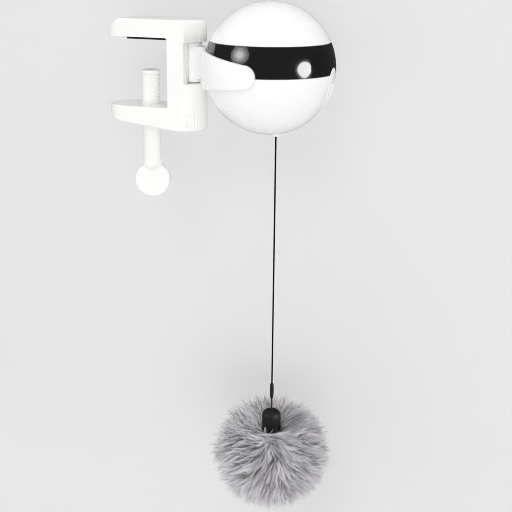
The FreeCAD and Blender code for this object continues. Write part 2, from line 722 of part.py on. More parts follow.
def pivot_washers():
    """Thin washers above and below the cradle's barrel."""
    rings = []
    for name, low in (("upper", "-dims.window_high - dims.washer_thick"), ("lower", "-dims.window_low")):
        at = ("dims.pivot_ahead", "0", low)
        disc = cylinder(f"{name}_washer", "dims.washer_radius", "dims.washer_thick", at)
        hole = cylinder(f"{name}_washer_hole", "dims.pivot_radius + dims.fit_gap", "dims.washer_thick", at)
        rings.append(cut(f"{name}_washer_ring", disc, hole))
    finish("pivot_washers", group("washer_pair", *rings))


def arm_profile():
    """Side outline of the cradle's arms, wide at the back with a round tip."""
    body = doc.addObject("PartDesign::Body", "arm_body")
    r = "dims.arm_tip"
    back = "(-dims.ball_radius - dims.cradle_wall - 4)"
    tip_x = "(-dims.arm_reach)"
    tip_z = "(-dims.arm_sag)"
    points = [
        (back, "-dims.arm_low_back"),
        (tip_x, f"{tip_z} - {r}"),
        (f"{tip_x} + {r}", tip_z),
        (tip_x, f"{tip_z} + {r}"),
        (back, "dims.arm_top_back"),
    ]
    sketch = outline(body, "arm_outline", "XZ_Plane", points, {1: (r, -1), 2: (r, -1)})
    padded(body, "arm_pad", sketch, "dims.ball_radius * 2 + 20")
    return body


def cradle():
    """Fork that clips round the ball, with its neck and pivot barrel."""
    inner = "(dims.ball_radius + dims.slip_gap)"
    outer = f"({inner} + dims.cradle_wall)"
    arms = common(
        "arms_shell",
        cut("arms_hollow", sphere("arms_outer", outer), sphere("arms_inner", inner)),
        arm_profile(),
    )
    soft_arms = rounded("arms_soft", arms, "dims.arm_round", outer_arm_edge)
    pivot_x = "(dims.pivot_ahead - dims.ball_ahead)"
    barrel_low = "(-dims.window_low + dims.washer_thick + dims.ball_drop + dims.fit_gap)"
    barrel_high = f"({WINDOW_HIGH} - 2 * dims.washer_thick - 2 * dims.fit_gap)"
    barrel = cylinder("barrel", "dims.barrel_radius", barrel_high, (pivot_x, "0", barrel_low))
    neck_length = f"(-{pivot_x} - dims.ball_radius * 0.9)"
    neck = box(
        "neck",
        (neck_length, "dims.neck_width", "dims.neck_high"),
        (f"({pivot_x} + {neck_length} / 2)", "0"),
        f"{barrel_low} + {barrel_high} / 2 - dims.neck_high / 2",
    )
    room = sphere("cradle_room", inner)
    bore = cylinder(
        "barrel_bore", "dims.pivot_radius + dims.fit_gap", barrel_high, (pivot_x, "0", barrel_low)
    )
    washer_room = [
        cylinder(
            f"{name}_washer_room", "dims.washer_radius + dims.slip_gap",
            "dims.washer_thick + dims.fit_gap", (pivot_x, "0", low),
        )
        for name, low in (
            ("lower", "dims.ball_drop - dims.window_low"),
            ("upper", f"{barrel_low} + {barrel_high}"),
        )
    ]
    whole = cut("cradle_whole", fuse("cradle_fused", soft_arms, barrel, neck), room, bore, *washer_room)
    finish("cradle", whole, BALL_CENTRE)


def outer_arm_edge(edge):
    """Whether an edge lies on the outer sphere of the cradle."""
    outer = value("dims.ball_radius + dims.slip_gap + dims.cradle_wall")
    ends = [vertex.Point.Length for vertex in edge.Vertexes]
    return all(abs(end - outer) < 0.02 for end in ends)


def side_tabs(radius, top, outer, inner, name):
    """Round-topped tabs at both ends of X between two spheres."""
    low = "(-dims.band_low - 0.5)"
    rod = cylinder(
        f"{name}_rod", radius, "dims.ball_radius * 2 + 4", (
            "-dims.ball_radius - 2", "0", f"{top} - {radius}",
        ), "X"
    )
    zone = sphere(f"{name}_outer", outer, low, "dims.band_high")
    core = sphere(f"{name}_inner", inner)
    return common(name, cut(f"{name}_zone", zone, core), rod)


def grooves():
    """Cutters for the shallow grooves down both ends of the lower shell, a rib in the middle."""
    floor = sphere(
        "groove_floor", "dims.ball_radius - dims.groove_deep", at=("0", "0", "-dims.groove_shift")
    )
    strip = box(
        "groove_strip",
        ("dims.ball_radius * 2 + 6", "dims.groove_width", "dims.ball_radius"),
        ("0", "0"),
        "-dims.groove_top - dims.ball_radius",
    )
    rib = common(
        "rib",
        box(
            "rib_strip",
            ("dims.ball_radius * 2 + 6", "dims.rib_width", "dims.ball_radius * 2"),
            ("0", "0"),
            "-dims.ball_radius",
        ),
        sphere("rib_ball", "dims.ball_radius - dims.rib_sink"),
    )
    return cut("groove_cutter", strip, floor, rib)


def ring(name, outer, inner, low, high):
    """Upright ring between two radii and two heights."""
    body = cylinder(f"{name}_outer", outer, f"{high} - ({low})", ("0", "0", low))
    hole = cylinder(f"{name}_inner", inner, f"{high} - ({low})", ("0", "0", low))
    return cut(name, body, hole)


def around(name, make, count, first):
    """Copies of a piece about the ball's upright axis."""
    copies = []
    for i in range(int(value(count))):
        copies.append(turned(f"{name}_{i}", make(f"{name}_shape_{i}"), f"{first} + {i} * 360 / {count}"))
    return copies


def at_pillars(name, make):
    """Copies of a piece at the four pillars."""
    a = "dims.pillar_angle"
    angles = [a, f"180 - {a}", f"180 + {a}", f"360 - {a}"]
    return [turned(f"{name}_{i}", make(f"{name}_shape_{i}"), angle) for i, angle in enumerate(angles)]


def lower_shell():
    """Lower shell with its collar, tabs, grooves, pillars and bosses."""
    r = "dims.ball_radius"
    inner = "(dims.ball_radius - dims.shell_wall)"
    bowl_outer = rounded(
        "bowl_outer",
        sphere("bowl_ball", r, high="-dims.band_low"),
        "dims.seam_chamfer",
        lambda edge: edge.Closed and edge.BoundBox.ZLength < 0.01,
        chamfer=True,
    )
    bowl = cut("bowl", bowl_outer, sphere("bowl_inside", inner))
    carved = cut("bowl_carved", bowl, grooves())
    ledge = ring(
        "ledge", "dims.ball_radius - dims.shell_wall / 2", NECK_INNER,
        "-dims.band_low - dims.ledge_thick", "-dims.band_low",
    )
    collar = ring("collar", NECK_OUTER, NECK_INNER, "-dims.band_low - 1", "dims.neck_top")
    tabs = side_tabs("dims.tab_radius", "dims.tab_high", r, "dims.ball_radius - dims.tab_thick", "tabs")
    inside = sphere("inside_limit", "dims.ball_radius - dims.shell_wall / 2")

    def pillar(name):
        return cylinder(
            name, "dims.pillar_radius", f"dims.chassis_low + {r}", (PILLAR_RING, "0", f"-{r}")
        )

    def pillar_hole(name):
        return cylinder(
            name, "dims.small_screw", "dims.small_screw_length",
            (PILLAR_RING, "0", "dims.chassis_low - dims.small_screw_length + dims.screw_spare"),
        )

    pillars = at_pillars("pillar", pillar)
    pillar_holes = at_pillars("pillar_hole", pillar_hole)
    bx, by = BUTTON_AT
    boss = cylinder("button_boss", "dims.button_boss", "dims.button_depth", (bx, by, f"-{r}"))
    guide_boss = cylinder(
        "guide_boss", "dims.guide_flange + dims.guide_land", "dims.guide_seat + dims.guide_land",
        (*GUIDE_AT, f"-{r}"),
    )
    board_pillars = [
        cylinder(
            f"board_pillar_{side + 1}", "dims.board_pillar", f"{r} + {SWITCH_BOARD_LOW}",
            (f"{side} * dims.board_pillar_span / 2", by, f"-{r}"),
        )
        for side in (-1, 1)
    ]
    board_holes = [
        cylinder(
            f"board_hole_{side + 1}", "dims.plate_screw", "dims.board_screw_length + dims.fit_gap",
            (
                f"{side} * dims.board_pillar_span / 2", by,
                f"{SWITCH_BOARD_LOW} - dims.board_screw_length - dims.fit_gap",
            ),
        )
        for side in (-1, 1)
    ]
    inner_parts = common(
        "inner_parts", fuse("inner_fused", *pillars, boss, guide_boss, *board_pillars), inside
    )
    whole = fuse("shell_fused", carved, ledge, collar, tabs, inner_parts)
    button_hole = cylinder(
        "button_hole", "dims.button_radius + dims.button_gap", "dims.button_depth + dims.shell_wall",
        (bx, by, f"-{r}"),
    )
    button_pocket = cylinder(
        "button_pocket", "dims.button_flange + dims.slip_gap", "dims.button_depth", (bx, by, BUTTON_SEAT)
    )
    guide_hole = cylinder(
        "guide_hole", "dims.guide_radius", "dims.guide_seat * 2", (*GUIDE_AT, f"-{r}")
    )
    guide_top = cylinder(
        "guide_top", "dims.guide_flange + dims.guide_land", "dims.guide_seat", (*GUIDE_AT, GUIDE_SEAT)
    )
    lug_groove = ring(
        "lug_groove", f"{NECK_INNER} + dims.lug_proud + dims.lug_room", SPIGOT_OUTER,
        "dims.spigot_low - dims.lug_room", "dims.spigot_low + dims.lug_high + dims.lug_room",
    )

    def lug_slot(name):
        return box(
            name,
            (
                "dims.lug_proud * 4",
                "dims.lug_width + 2 * dims.lug_room",
                "dims.neck_top - dims.spigot_low + dims.lug_high",
            ),
            (f"{NECK_INNER} + dims.lug_room - dims.lug_proud", "0"),
            "dims.spigot_low",
        )

    slots = around("lug_slot", lug_slot, "dims.lug_count", "dims.dome_turn")
    final = cut(
        "lower_shell_cut", whole, button_hole, button_pocket, guide_hole, guide_top, lug_groove,
        *slots, *pillar_holes, *board_holes,
    )
    finish("lower_shell", final, BALL_CENTRE)


def band_ring():
    """Dark band between shell and dome, notched for the tabs."""
    zone = sphere("band_outer", "dims.ball_radius", "-dims.band_low", "dims.band_high")
    eased = rounded(
        "band_eased", zone, "dims.seam_chamfer",
        lambda edge: edge.Closed and edge.BoundBox.ZLength < 0.01, chamfer=True,
    )
    flange_low = "(dims.band_high - dims.band_wall)"
    hollow = sphere("band_inner", "dims.ball_radius - dims.band_wall", "-dims.band_low", flange_low)
    bore = cylinder(
        "band_bore", f"{NECK_OUTER} + 2 * dims.fit_gap", "dims.ball_radius", ("0", "0", "-dims.band_low")
    )
    notch = cylinder(
        "band_notch", "dims.tab_radius + dims.fit_gap", "dims.ball_radius * 2 + 4",
        ("-dims.ball_radius - 2", "0", "dims.tab_high - dims.tab_radius"), "X",
    )
    finish("band_ring", cut("band_cut", eased, hollow, bore, notch), BALL_CENTRE)


def top_dome():
    """Dome with its flange, spigot and bayonet lugs."""
    low = "(dims.band_high + dims.fit_gap)"
    cap = rounded(
        "dome_outer", sphere("dome_ball", "dims.ball_radius", low=low), "dims.seam_chamfer",
        lambda edge: edge.Closed and edge.BoundBox.ZLength < 0.01, chamfer=True,
    )
    shell = cut("dome_shell", cap, sphere("dome_inside", "dims.ball_radius - dims.dome_wall"))
    flange_top = "(dims.band_high + dims.flange_thick)"
    flange = ring(
        "dome_flange", f"sqrt((dims.ball_radius - dims.dome_wall / 2)^2 - {flange_top}^2)",
        SPIGOT_INNER, low, flange_top,
    )
    spigot = ring("spigot", SPIGOT_OUTER, SPIGOT_INNER, "dims.spigot_low", "dims.band_high + 1")

    def lug(name):
        block = box(
            name,
            ("dims.lug_proud + dims.spigot_wall", "dims.lug_width", "dims.lug_high"),
            (f"{NECK_INNER} + (dims.lug_proud - dims.spigot_wall) / 2", "0"),
            "dims.spigot_low",
        )
        limit = cylinder(f"{name}_limit", f"{NECK_INNER} + dims.lug_proud", "dims.ball_radius")
        return common(f"{name}_trimmed", block, limit)

    lugs = around("lug", lug, "dims.lug_count", "0")
    finish("top_dome", fuse("dome_fused", shell, flange, spigot, *lugs), BALL_CENTRE)


def line_guide():
    """Flanged guide in the shell's floor that the line runs through."""
    top = f"({GUIDE_SEAT} + dims.guide_flange_thick)"
    low = GUIDE_LOW
    mouth = f"({low} + dims.guide_mouth)"
    guide = revolved(
        "guide",
        [
            ("dims.guide_bore", mouth),
            ("dims.guide_flare", low),
            ("dims.guide_radius - dims.fit_gap", low),
            ("dims.guide_radius - dims.fit_gap", GUIDE_SEAT),
            ("dims.guide_flange", GUIDE_SEAT),
            ("dims.guide_flange", top),
            ("dims.guide_bore", top),
        ],
    )
    place(guide, (*GUIDE_AT, "0"))
    finish("line_guide", guide, BALL_CENTRE)


def power_button():
    """Push button in the shell's underside."""
    bx, by = BUTTON_AT
    stem = cylinder(
        "button_stem", "dims.button_radius", "dims.button_depth + dims.fit_gap + dims.button_proud",
        (bx, by, "-dims.ball_radius - dims.button_proud"),
    )
    limit = sphere("button_limit", "dims.ball_radius + dims.button_proud")
    flange = cylinder(
        "button_flange", "dims.button_flange", "dims.button_flange_thick - dims.fit_gap",
        (bx, by, f"{BUTTON_SEAT} + dims.fit_gap"),
    )
    face = common("button_body", stem, limit)
    finish("power_button", fuse("button_fused", face, flange), BALL_CENTRE)


def switch_parts():
    """Push switch, its plunger, its board and the board's screws."""
    bx, by = BUTTON_AT
    body = box(
        "switch_block", ("dims.switch_side", "dims.switch_side", "dims.switch_high"), (bx, by), SWITCH_TOP,
    )
    hole = cylinder(
        "switch_hole", "dims.plunger_radius + dims.fit_gap", "dims.plunger_length - dims.fit_gap * 4",
        (bx, by, SWITCH_TOP),
    )
    finish("push_switch", cut("switch_cut", body, hole), BALL_CENTRE)
    plunger = cylinder(
        "plunger", "dims.plunger_radius", "dims.plunger_length",
        (bx, by, PLUNGER_LOW),
    )
    finish("switch_plunger", plunger, BALL_CENTRE)
    board = box(
        "switch_board_block", ("dims.switch_board_length", "dims.switch_board_width", "dims.board_thick"),
        (bx, by), SWITCH_BOARD_LOW,
    )
    holes = []
    screws = []
    for side in (-1, 1):
        x = f"{side} * dims.board_pillar_span / 2"
        holes.append(
            cylinder(
                f"board_screw_hole_{side + 1}", "dims.plate_screw", "dims.board_thick * 3",
                (x, by, f"{SWITCH_BOARD_LOW} - dims.board_thick"),
            )
        )
        shank = cylinder(
            f"board_screw_{side + 1}", "dims.plate_screw", "dims.board_thick + dims.board_screw_length",
            (x, by, f"{SWITCH_BOARD_LOW} - dims.board_screw_length"),
        )
        head = cylinder(
            f"board_head_{side + 1}",
            "dims.small_head",
            "dims.small_head_high",
            (x, by, f"{SWITCH_BOARD_LOW} + dims.board_thick"),
        )
        screws.append(fuse(f"board_screw_whole_{side + 1}", shank, head))
    finish("switch_board", cut("switch_board_cut", board, *holes), BALL_CENTRE)
    finish("switch_board_screws", group("board_screw_pair", *screws), BALL_CENTRE)


# Gear train, seen along Y. The drum's axle hangs under the middle, the idler up and to the front,
# the motor up and to the back.
SPACING = "(dims.gear_module * (dims.wheel_teeth + dims.pinion_teeth) / 2)"
DRUM = ("(dims.eyelet_ahead - dims.drum_radius - dims.line_width / 2)", "(-dims.drum_drop)")
IDLER = (
    f"({DRUM[0]} + {SPACING} * sin(dims.second_stage))",
    f"({DRUM[1]} + {SPACING} * cos(dims.second_stage))",
)
MOTOR = (
    f"({IDLER[0]} + {SPACING} * sin(dims.first_stage))",
    f"({IDLER[1]} + {SPACING} * cos(dims.first_stage))",
)
DRUM_NEAR = "(dims.eyelet_aside - dims.drum_width / 2 - dims.drum_rim)"
DRUM_FAR = "(dims.eyelet_aside + dims.drum_width / 2 + dims.drum_rim)"
GEAR_NEAR = DRUM_FAR
GEAR_FAR = f"({GEAR_NEAR} + dims.gear_face)"
WHEEL_NEAR = f"({GEAR_FAR} + dims.gear_gap)"
WHEEL_FAR = f"({WHEEL_NEAR} + dims.idler_face)"
PLATE_NEAR = f"({DRUM_NEAR} - dims.gear_gap - dims.plate_thick)"
PLATE_FAR = f"({WHEEL_FAR} + dims.gear_gap + dims.slip_gap)"


def involute(angle):
    """Involute function of a pressure angle in radians."""
    return math.tan(angle) - angle


def tooth_angle(radius, base, half_angle, pitch_pressure):
    """Half the angle that a tooth spans at a radius, from its half angle on the pitch circle."""
    pressure = math.acos(min(1.0, base / radius))
    return half_angle + involute(pitch_pressure) - involute(pressure)


def gear_solid(teeth, shift, bore, near, width, centre, tooth_at):
    """Involute gear about an axis along Y, one tooth's middle at the angle tooth_at from +X to +Z."""
    module = value("dims.gear_module")
    pressure = math.radians(20)
    pitch = module * teeth / 2
    base = pitch * math.cos(pressure)
    tip = pitch + module * (1 + shift) - 0.05
    root = pitch - module * (1.25 - shift)
    thick = module * (math.pi / 2 + 2 * shift * math.tan(pressure)) - value("dims.tooth_backlash")
    half = thick / (2 * pitch)
    radii = [max(base, root) + (tip - max(base, root)) * step / 3 for step in range(4)]
    flank = [(r, tooth_angle(r, base, half, pressure)) for r in radii]
    if root < base:
        flank.insert(0, (root, flank[0][1]))
    points = []
    for tooth in range(teeth):
        middle = tooth_at + 2 * math.pi * tooth / teeth
        points += [(r, middle - a) for r, a in flank] + [(r, middle + a) for r, a in reversed(flank)]
    corners = [FreeCAD.Vector(r * math.cos(a), 0, r * math.sin(a)) for r, a in points]
    face = Part.Face(Part.makePolygon(corners + corners[:1]))
    solid = face.extrude(FreeCAD.Vector(0, width, 0))
    hole = Part.makeCylinder(bore, width + 2, FreeCAD.Vector(0, -1, 0), FreeCAD.Vector(0, 1, 0))
    solid = solid.cut(hole)
    solid.translate(FreeCAD.Vector(centre[0], near, centre[1]))
    return solid


def feature(name, shape):
    """Part feature that holds a shape worked out above."""
    obj = doc.addObject("Part::Feature", name)
    obj.Shape = shape
    return obj


def centre_of(pair):
    """Numbers of an axle's place."""
    return value(pair[0]), value(pair[1])


def direction(start, end):
    """Angle from +X to +Z of the line between two axles."""
    return math.atan2(end[1] - start[1], end[0] - start[0])


def drive_gears():
    """Drum gear, idler with its two gears, and motor pinion, in mesh at rest."""
    wheel = int(value("dims.wheel_teeth"))
    small = int(value("dims.pinion_teeth"))
    shift = value("dims.tooth_shift")
    bore = value("dims.axle_radius + dims.fit_gap")
    drum, idler, motor = centre_of(DRUM), centre_of(IDLER), centre_of(MOTOR)
    half_wheel = math.pi / wheel
    drum_gear = gear_solid(
        wheel, -shift, bore, value(GEAR_NEAR), value("dims.gear_face"), drum,
        direction(drum, idler) + half_wheel,
    )
    finish("drum_gear", feature("drum_gear_shape", drum_gear), BALL_CENTRE)
    idler_small = gear_solid(
        small, shift, bore, value(GEAR_NEAR), value(f"{WHEEL_NEAR} - {GEAR_NEAR}"), idler,
        direction(idler, drum),
    )
    idler_large = gear_solid(
        wheel, -shift, bore, value(WHEEL_NEAR), value("dims.idler_face"), idler,
        direction(idler, motor) + half_wheel,
    )
    finish("idler_gear", feature("idler_shape", idler_large.fuse(idler_small)), BALL_CENTRE)
    pinion = gear_solid(
        small, shift, value("dims.shaft_radius"), value(WHEEL_NEAR), value("dims.idler_face"), motor,
        direction(motor, idler),
    )
    finish("motor_pinion", feature("pinion_shape", pinion), BALL_CENTRE)


def line_drum():
    """Drum with two flanges that winds the line."""
    whole_width = f"({DRUM_FAR} - {DRUM_NEAR})"
    barrel = cylinder("drum_barrel", "dims.drum_radius", whole_width, (DRUM[0], DRUM_NEAR, DRUM[1]), "Y")
    near = cylinder("drum_near", "dims.drum_flange", "dims.drum_rim", (DRUM[0], DRUM_NEAR, DRUM[1]), "Y")
    far = cylinder(
        "drum_far", "dims.drum_flange", "dims.drum_rim",
        (DRUM[0], f"{DRUM_FAR} - dims.drum_rim", DRUM[1]), "Y",
    )
    bore = cylinder(
        "drum_bore", "dims.axle_radius + dims.fit_gap", f"{whole_width} + 2", (
            DRUM[0], f"{DRUM_NEAR} - 1", DRUM[1],
        ), "Y"
    )
    finish("line_drum", cut("drum_cut", fuse("drum_fused", barrel, near, far), bore), BALL_CENTRE)


def line_winding():
    """The turns of line left on the drum, as one layer beside the running line."""
    at = (DRUM[0], f"{DRUM_NEAR} + dims.drum_rim", DRUM[1])
    outer = cylinder("winding_outer", "dims.drum_radius + dims.line_width", "dims.wound_width", at, "Y")
    inner = cylinder("winding_inner", "dims.drum_radius", "dims.wound_width", at, "Y")
    finish("line_winding", cut("winding", outer, inner), BALL_CENTRE)


POSTS = [
    ("-dims.post_high_behind", "-dims.post_high_drop"),
    ("dims.post_high_ahead", "-dims.post_high_drop"),
    ("dims.post_low_ahead", "-dims.post_low_drop"),
    ("-dims.post_low_behind", "-dims.post_low_drop"),
]


def plate_outline(name, near):
    """Plate through the four posts with rounded corners."""
    discs = []
    for i, (x, z) in enumerate(POSTS):
        discs.append(
            cylinder(f"{name}_corner_{i}", "dims.plate_round", "dims.plate_thick", (x, near, z), "Y")
        )
    body = doc.addObject("PartDesign::Body", f"{name}_body")
    points = []
    for i, (x, z) in enumerate(POSTS):
        for other, side in ((POSTS[i - 1], 1), (POSTS[(i + 1) % len(POSTS)], -1)):
            dx, dz = f"({other[0]} - ({x}))", f"({other[1]} - ({z}))"
            share = f"{side} * dims.plate_round / sqrt({dx}^2 + {dz}^2)"
            points.append((f"{x} + {dz} * {share}", f"{z} - {dx} * {share}"))
    sketch = outline(body, f"{name}_outline", "XZ_Plane", points)
    padded(body, f"{name}_pad", sketch, "dims.plate_thick")
    place(body, ("0", f"{near} + dims.plate_thick / 2", "0"))
    return fuse(f"{name}_plate", body, *discs)


def cell_y(index):
    """Place of a cell across the tray."""
    return f"(({index} - (dims.cell_count - 1) / 2) * dims.cell_pitch)"


def wire_holes_at():
    """Places under the two end contacts of the cells, where the battery's wires go down."""
    contact = f"({PLATE_FACE} + dims.contact_thick / 2)"
    return (contact, cell_y(0)), (f"-{contact}", cell_y("(dims.cell_count - 1)"))


def wire_holes(label):
    """Holes for the battery's wires through the tray's floor and the chassis."""
    return [
        cylinder(
            f"{label}_{i}", "dims.wire_radius + dims.fit_gap", f"{TRAY_TOP} - dims.chassis_low + 2",
            (*at, "dims.chassis_low - 1"),
        )
        for i, at in enumerate(wire_holes_at())
    ]


def chassis():
    """Round chassis with the near drive plate and posts hanging from it."""
    disc = cylinder(
        "chassis_disc", "dims.ball_radius - dims.chassis_inset", "dims.chassis_thick", (
            "0", "0", "dims.chassis_low",
        )
    )
    plate = plate_outline("near", PLATE_NEAR)
    web = box(
        "web",
        (
            "dims.post_high_behind + dims.post_high_ahead + dims.post_radius * 2",
            "dims.plate_thick",
            "dims.web_high",
        ),
        ("(dims.post_high_ahead - dims.post_high_behind) / 2", f"{PLATE_NEAR} + dims.plate_thick / 2"),
        "dims.chassis_low + dims.web_sink - dims.web_high",
    )
    posts = [
        cylinder(f"post_{i}", "dims.post_radius", f"{PLATE_FAR} - {PLATE_NEAR}", (x, PLATE_NEAR, z), "Y")
        for i, (x, z) in enumerate(POSTS)
    ]
    post_holes = [
        cylinder(
            f"post_hole_{i}", "dims.plate_screw", "dims.plate_screw_length + dims.screw_spare",
            (x, f"{PLATE_FAR} - dims.plate_screw_length - dims.screw_spare", z), "Y",
        )
        for i, (x, z) in enumerate(POSTS)
    ]
    axle_holes = [
        cylinder(
            f"near_axle_hole_{i}",
            "dims.axle_radius",
            "dims.plate_thick + 2",
            (x, f"{PLATE_NEAR} - 1", z),
            "Y",
        )
        for i, (x, z) in enumerate((DRUM, IDLER))
    ]

    def screw_hole(name):
        return cylinder(
            name, "dims.small_screw + dims.fit_gap", "dims.chassis_thick + 2",
            (PILLAR_RING, "0", "dims.chassis_low - 1"),
        )

    screw_holes = at_pillars("chassis_hole", screw_hole)
    board_posts = [
        cylinder(
            f"main_post_{side + 1}", "dims.post_radius",
            f"dims.chassis_low - {BOARD_TOP}",
            (f"{side} * dims.main_post_span / 2", "dims.main_board_aside", BOARD_TOP),
        )
        for side in (-1, 1)
    ]
    board_holes = [
        cylinder(
            f"main_post_hole_{side + 1}", "dims.plate_screw", "dims.board_screw_length + dims.screw_spare",
            (f"{side} * dims.main_post_span / 2", "dims.main_board_aside", BOARD_TOP),
        )
        for side in (-1, 1)
    ]
    ear_holes = [
        cylinder(
            f"ear_screw_hole_{side + 1}", "dims.small_screw", "dims.chassis_thick + 2",
            ("0", f"{side} * dims.tray_ear_aside", "dims.chassis_low - 1"),
        )
        for side in (-1, 1)
    ]
    whole = fuse("chassis_fused", disc, plate, web, *posts, *board_posts)
    holes = [*post_holes, *axle_holes, *screw_holes, *board_holes, *ear_holes, *wire_holes("chassis_wire")]
    final = cut("chassis_cut", whole, *holes)
    finish("chassis", final, BALL_CENTRE)


def drive_plate():
    """Far drive plate that closes the gear train and carries the motor."""
    plate = plate_outline("far", PLATE_FAR)
    holes = [
        cylinder(
            f"far_post_hole_{i}",
            "dims.plate_screw + dims.fit_gap",
            "dims.plate_thick + 2",
            (x, f"{PLATE_FAR} - 1", z),
            "Y",
        )
        for i, (x, z) in enumerate(POSTS)
    ]
    axle_holes = [
        cylinder(
            f"far_axle_hole_{i}",
            "dims.axle_radius",
            "dims.plate_thick + 2",
            (x, f"{PLATE_FAR} - 1", z),
            "Y",
        )
        for i, (x, z) in enumerate((DRUM, IDLER))
    ]
    boss_hole = cylinder(
        "motor_boss_hole", "dims.motor_boss + dims.fit_gap", "dims.plate_thick + 2",
        (MOTOR[0], f"{PLATE_FAR} - 1", MOTOR[1]), "Y",
    )
    motor_holes = [
        cylinder(
            f"motor_screw_hole_{side + 1}", "dims.motor_screw", "dims.plate_thick + 2",
            (f"{MOTOR[0]} + {side} * dims.motor_screw_aside", f"{PLATE_FAR} - 1", MOTOR[1]), "Y",
        )
        for side in (-1, 1)
    ]
    finish(
        "drive_plate",
        cut("far_plate_cut", plate, *holes, *axle_holes, boss_hole, *motor_holes),
        BALL_CENTRE,
    )


def axles():
    """Steel axles of the drum and the idler."""
    length = f"({PLATE_FAR} + dims.plate_thick - {PLATE_NEAR})"
    for label, (x, z) in (("drum_axle", DRUM), ("idler_axle", IDLER)):
        finish(
            label,
            cylinder(f"{label}_rod", "dims.axle_radius", length, (x, PLATE_NEAR, z), "Y"),
            BALL_CENTRE,
        )


def drive_screws():
    """Screws that hold the far plate and the motor."""
    screws = []
    for i, (x, z) in enumerate(POSTS):
        shank = cylinder(
            f"drive_shank_{i}", "dims.plate_screw", "dims.plate_screw_length + dims.plate_thick",
            (x, f"{PLATE_FAR} - dims.plate_screw_length", z), "Y",
        )
        head = cylinder(
            f"drive_head_{i}",
            "dims.small_head",
            "dims.small_head_high",
            (x, f"{PLATE_FAR} + dims.plate_thick", z),
            "Y",
        )
        screws.append(fuse(f"drive_screw_{i}", shank, head))
    finish("drive_screws", group("drive_screw_set", *screws), BALL_CENTRE)
    motor_screws = []
    for side in (-1, 1):
        x = f"{MOTOR[0]} + {side} * dims.motor_screw_aside"
        shank = cylinder(
            f"motor_shank_{side + 1}", "dims.motor_screw", "dims.plate_thick + dims.motor_screw_depth",
            (x, PLATE_FAR, MOTOR[1]), "Y",
        )
        head = cylinder(
            f"motor_head_{side + 1}", "dims.motor_screw_head", "dims.gear_gap / 2",
            (x, f"{PLATE_FAR} - dims.gear_gap / 2", MOTOR[1]), "Y",
        )
        motor_screws.append(fuse(f"motor_screw_{side + 1}", shank, head))
    finish("motor_screws", group("motor_screw_pair", *motor_screws), BALL_CENTRE)


def motor():
    """Small motor with flats above and below, and its shaft."""
    near = f"({PLATE_FAR} + dims.plate_thick)"
    can = cylinder(
        "motor_round", "dims.motor_width / 2", "dims.motor_length", (MOTOR[0], near, MOTOR[1]), "Y",
    )
    flats = box(
        "motor_flats", ("dims.motor_width + 2", "dims.motor_length + 2", "dims.motor_high"),
        (MOTOR[0], f"{near} + dims.motor_length / 2"), f"{MOTOR[1]} - dims.motor_high / 2",
    )
    boss = cylinder(
        "motor_nose", "dims.motor_boss", "dims.plate_thick", (MOTOR[0], PLATE_FAR, MOTOR[1]), "Y",
    )
    tail = cylinder(
        "motor_tail", "dims.motor_boss", "dims.motor_tail", (
            MOTOR[0], f"{near} + dims.motor_length", MOTOR[1],
        ), "Y"
    )
    bore = cylinder(
        "motor_bore", "dims.shaft_radius + dims.fit_gap", "dims.plate_thick + dims.shaft_hidden + 2",
        (MOTOR[0], f"{PLATE_FAR} - 1", MOTOR[1]), "Y",
    )
    screw_room = [
        cylinder(
            f"motor_thread_{side + 1}", "dims.motor_screw", "dims.motor_screw_depth",
            (f"{MOTOR[0]} + {side} * dims.motor_screw_aside", near, MOTOR[1]), "Y",
        )
        for side in (-1, 1)
    ]
    whole = fuse("motor_fused", common("motor_can", can, flats), boss, tail)
    finish("motor", cut("motor_cut", whole, bore, *screw_room), BALL_CENTRE)
    shaft_length = f"{PLATE_FAR} - {WHEEL_NEAR} + dims.plate_thick + dims.shaft_hidden"
    shaft = cylinder(
        "shaft_rod", "dims.shaft_radius", shaft_length, (MOTOR[0], WHEEL_NEAR, MOTOR[1]), "Y"
    )
    finish("motor_shaft", shaft, BALL_CENTRE)


def chassis_screws():
    """Screws that hold the chassis on the shell's pillars."""

    shank_length = "dims.small_screw_length - dims.screw_spare + dims.chassis_thick"

    def screw(name):
        shank = cylinder(
            f"{name}_shank", "dims.small_screw", shank_length,
            (PILLAR_RING, "0", "dims.chassis_low - dims.small_screw_length + dims.screw_spare"),
        )
        head = cylinder(
            f"{name}_head",
            "dims.small_head",
            "dims.small_head_high",
            (PILLAR_RING, "0", "dims.chassis_low + dims.chassis_thick"),
        )
        return fuse(name, shank, head)

    finish("chassis_screws", group("chassis_screw_set", *at_pillars("chassis_screw", screw)), BALL_CENTRE)


def main_board():
    """Main board with its control chip and screws."""
    low = "-dims.main_board_drop"
    block = box(
        "main_board_block", ("dims.main_board_length", "dims.main_board_width", "dims.board_thick"),
        ("0", "dims.main_board_aside"), low,
    )
    holes = []
    screws = []
    for side in (-1, 1):
        x = f"{side} * dims.main_post_span / 2"
        at = (x, "dims.main_board_aside", f"{low} - 1")
        holes.append(cylinder(f"main_hole_{side + 1}", "dims.plate_screw", "4", at))
        shank = cylinder(
            f"main_shank_{side + 1}", "dims.plate_screw", "dims.board_thick + dims.board_screw_length",
            (x, "dims.main_board_aside", low),
        )
        head = cylinder(
            f"main_head_{side + 1}", "dims.small_head", "dims.small_head_high",
            (x, "dims.main_board_aside", f"{low} - dims.small_head_high"),
        )
        screws.append(fuse(f"main_screw_{side + 1}", shank, head))
    finish("main_board", cut("main_board_cut", block, *holes), BALL_CENTRE)
    finish("main_board_screws", group("main_screw_pair", *screws), BALL_CENTRE)
    chip = box(
        "chip_block", ("dims.chip_length", "dims.chip_width", "dims.chip_high"),
        ("0", "dims.main_board_aside"), f"{low} - dims.chip_high",
    )
    finish("control_chip", chip, BALL_CENTRE)


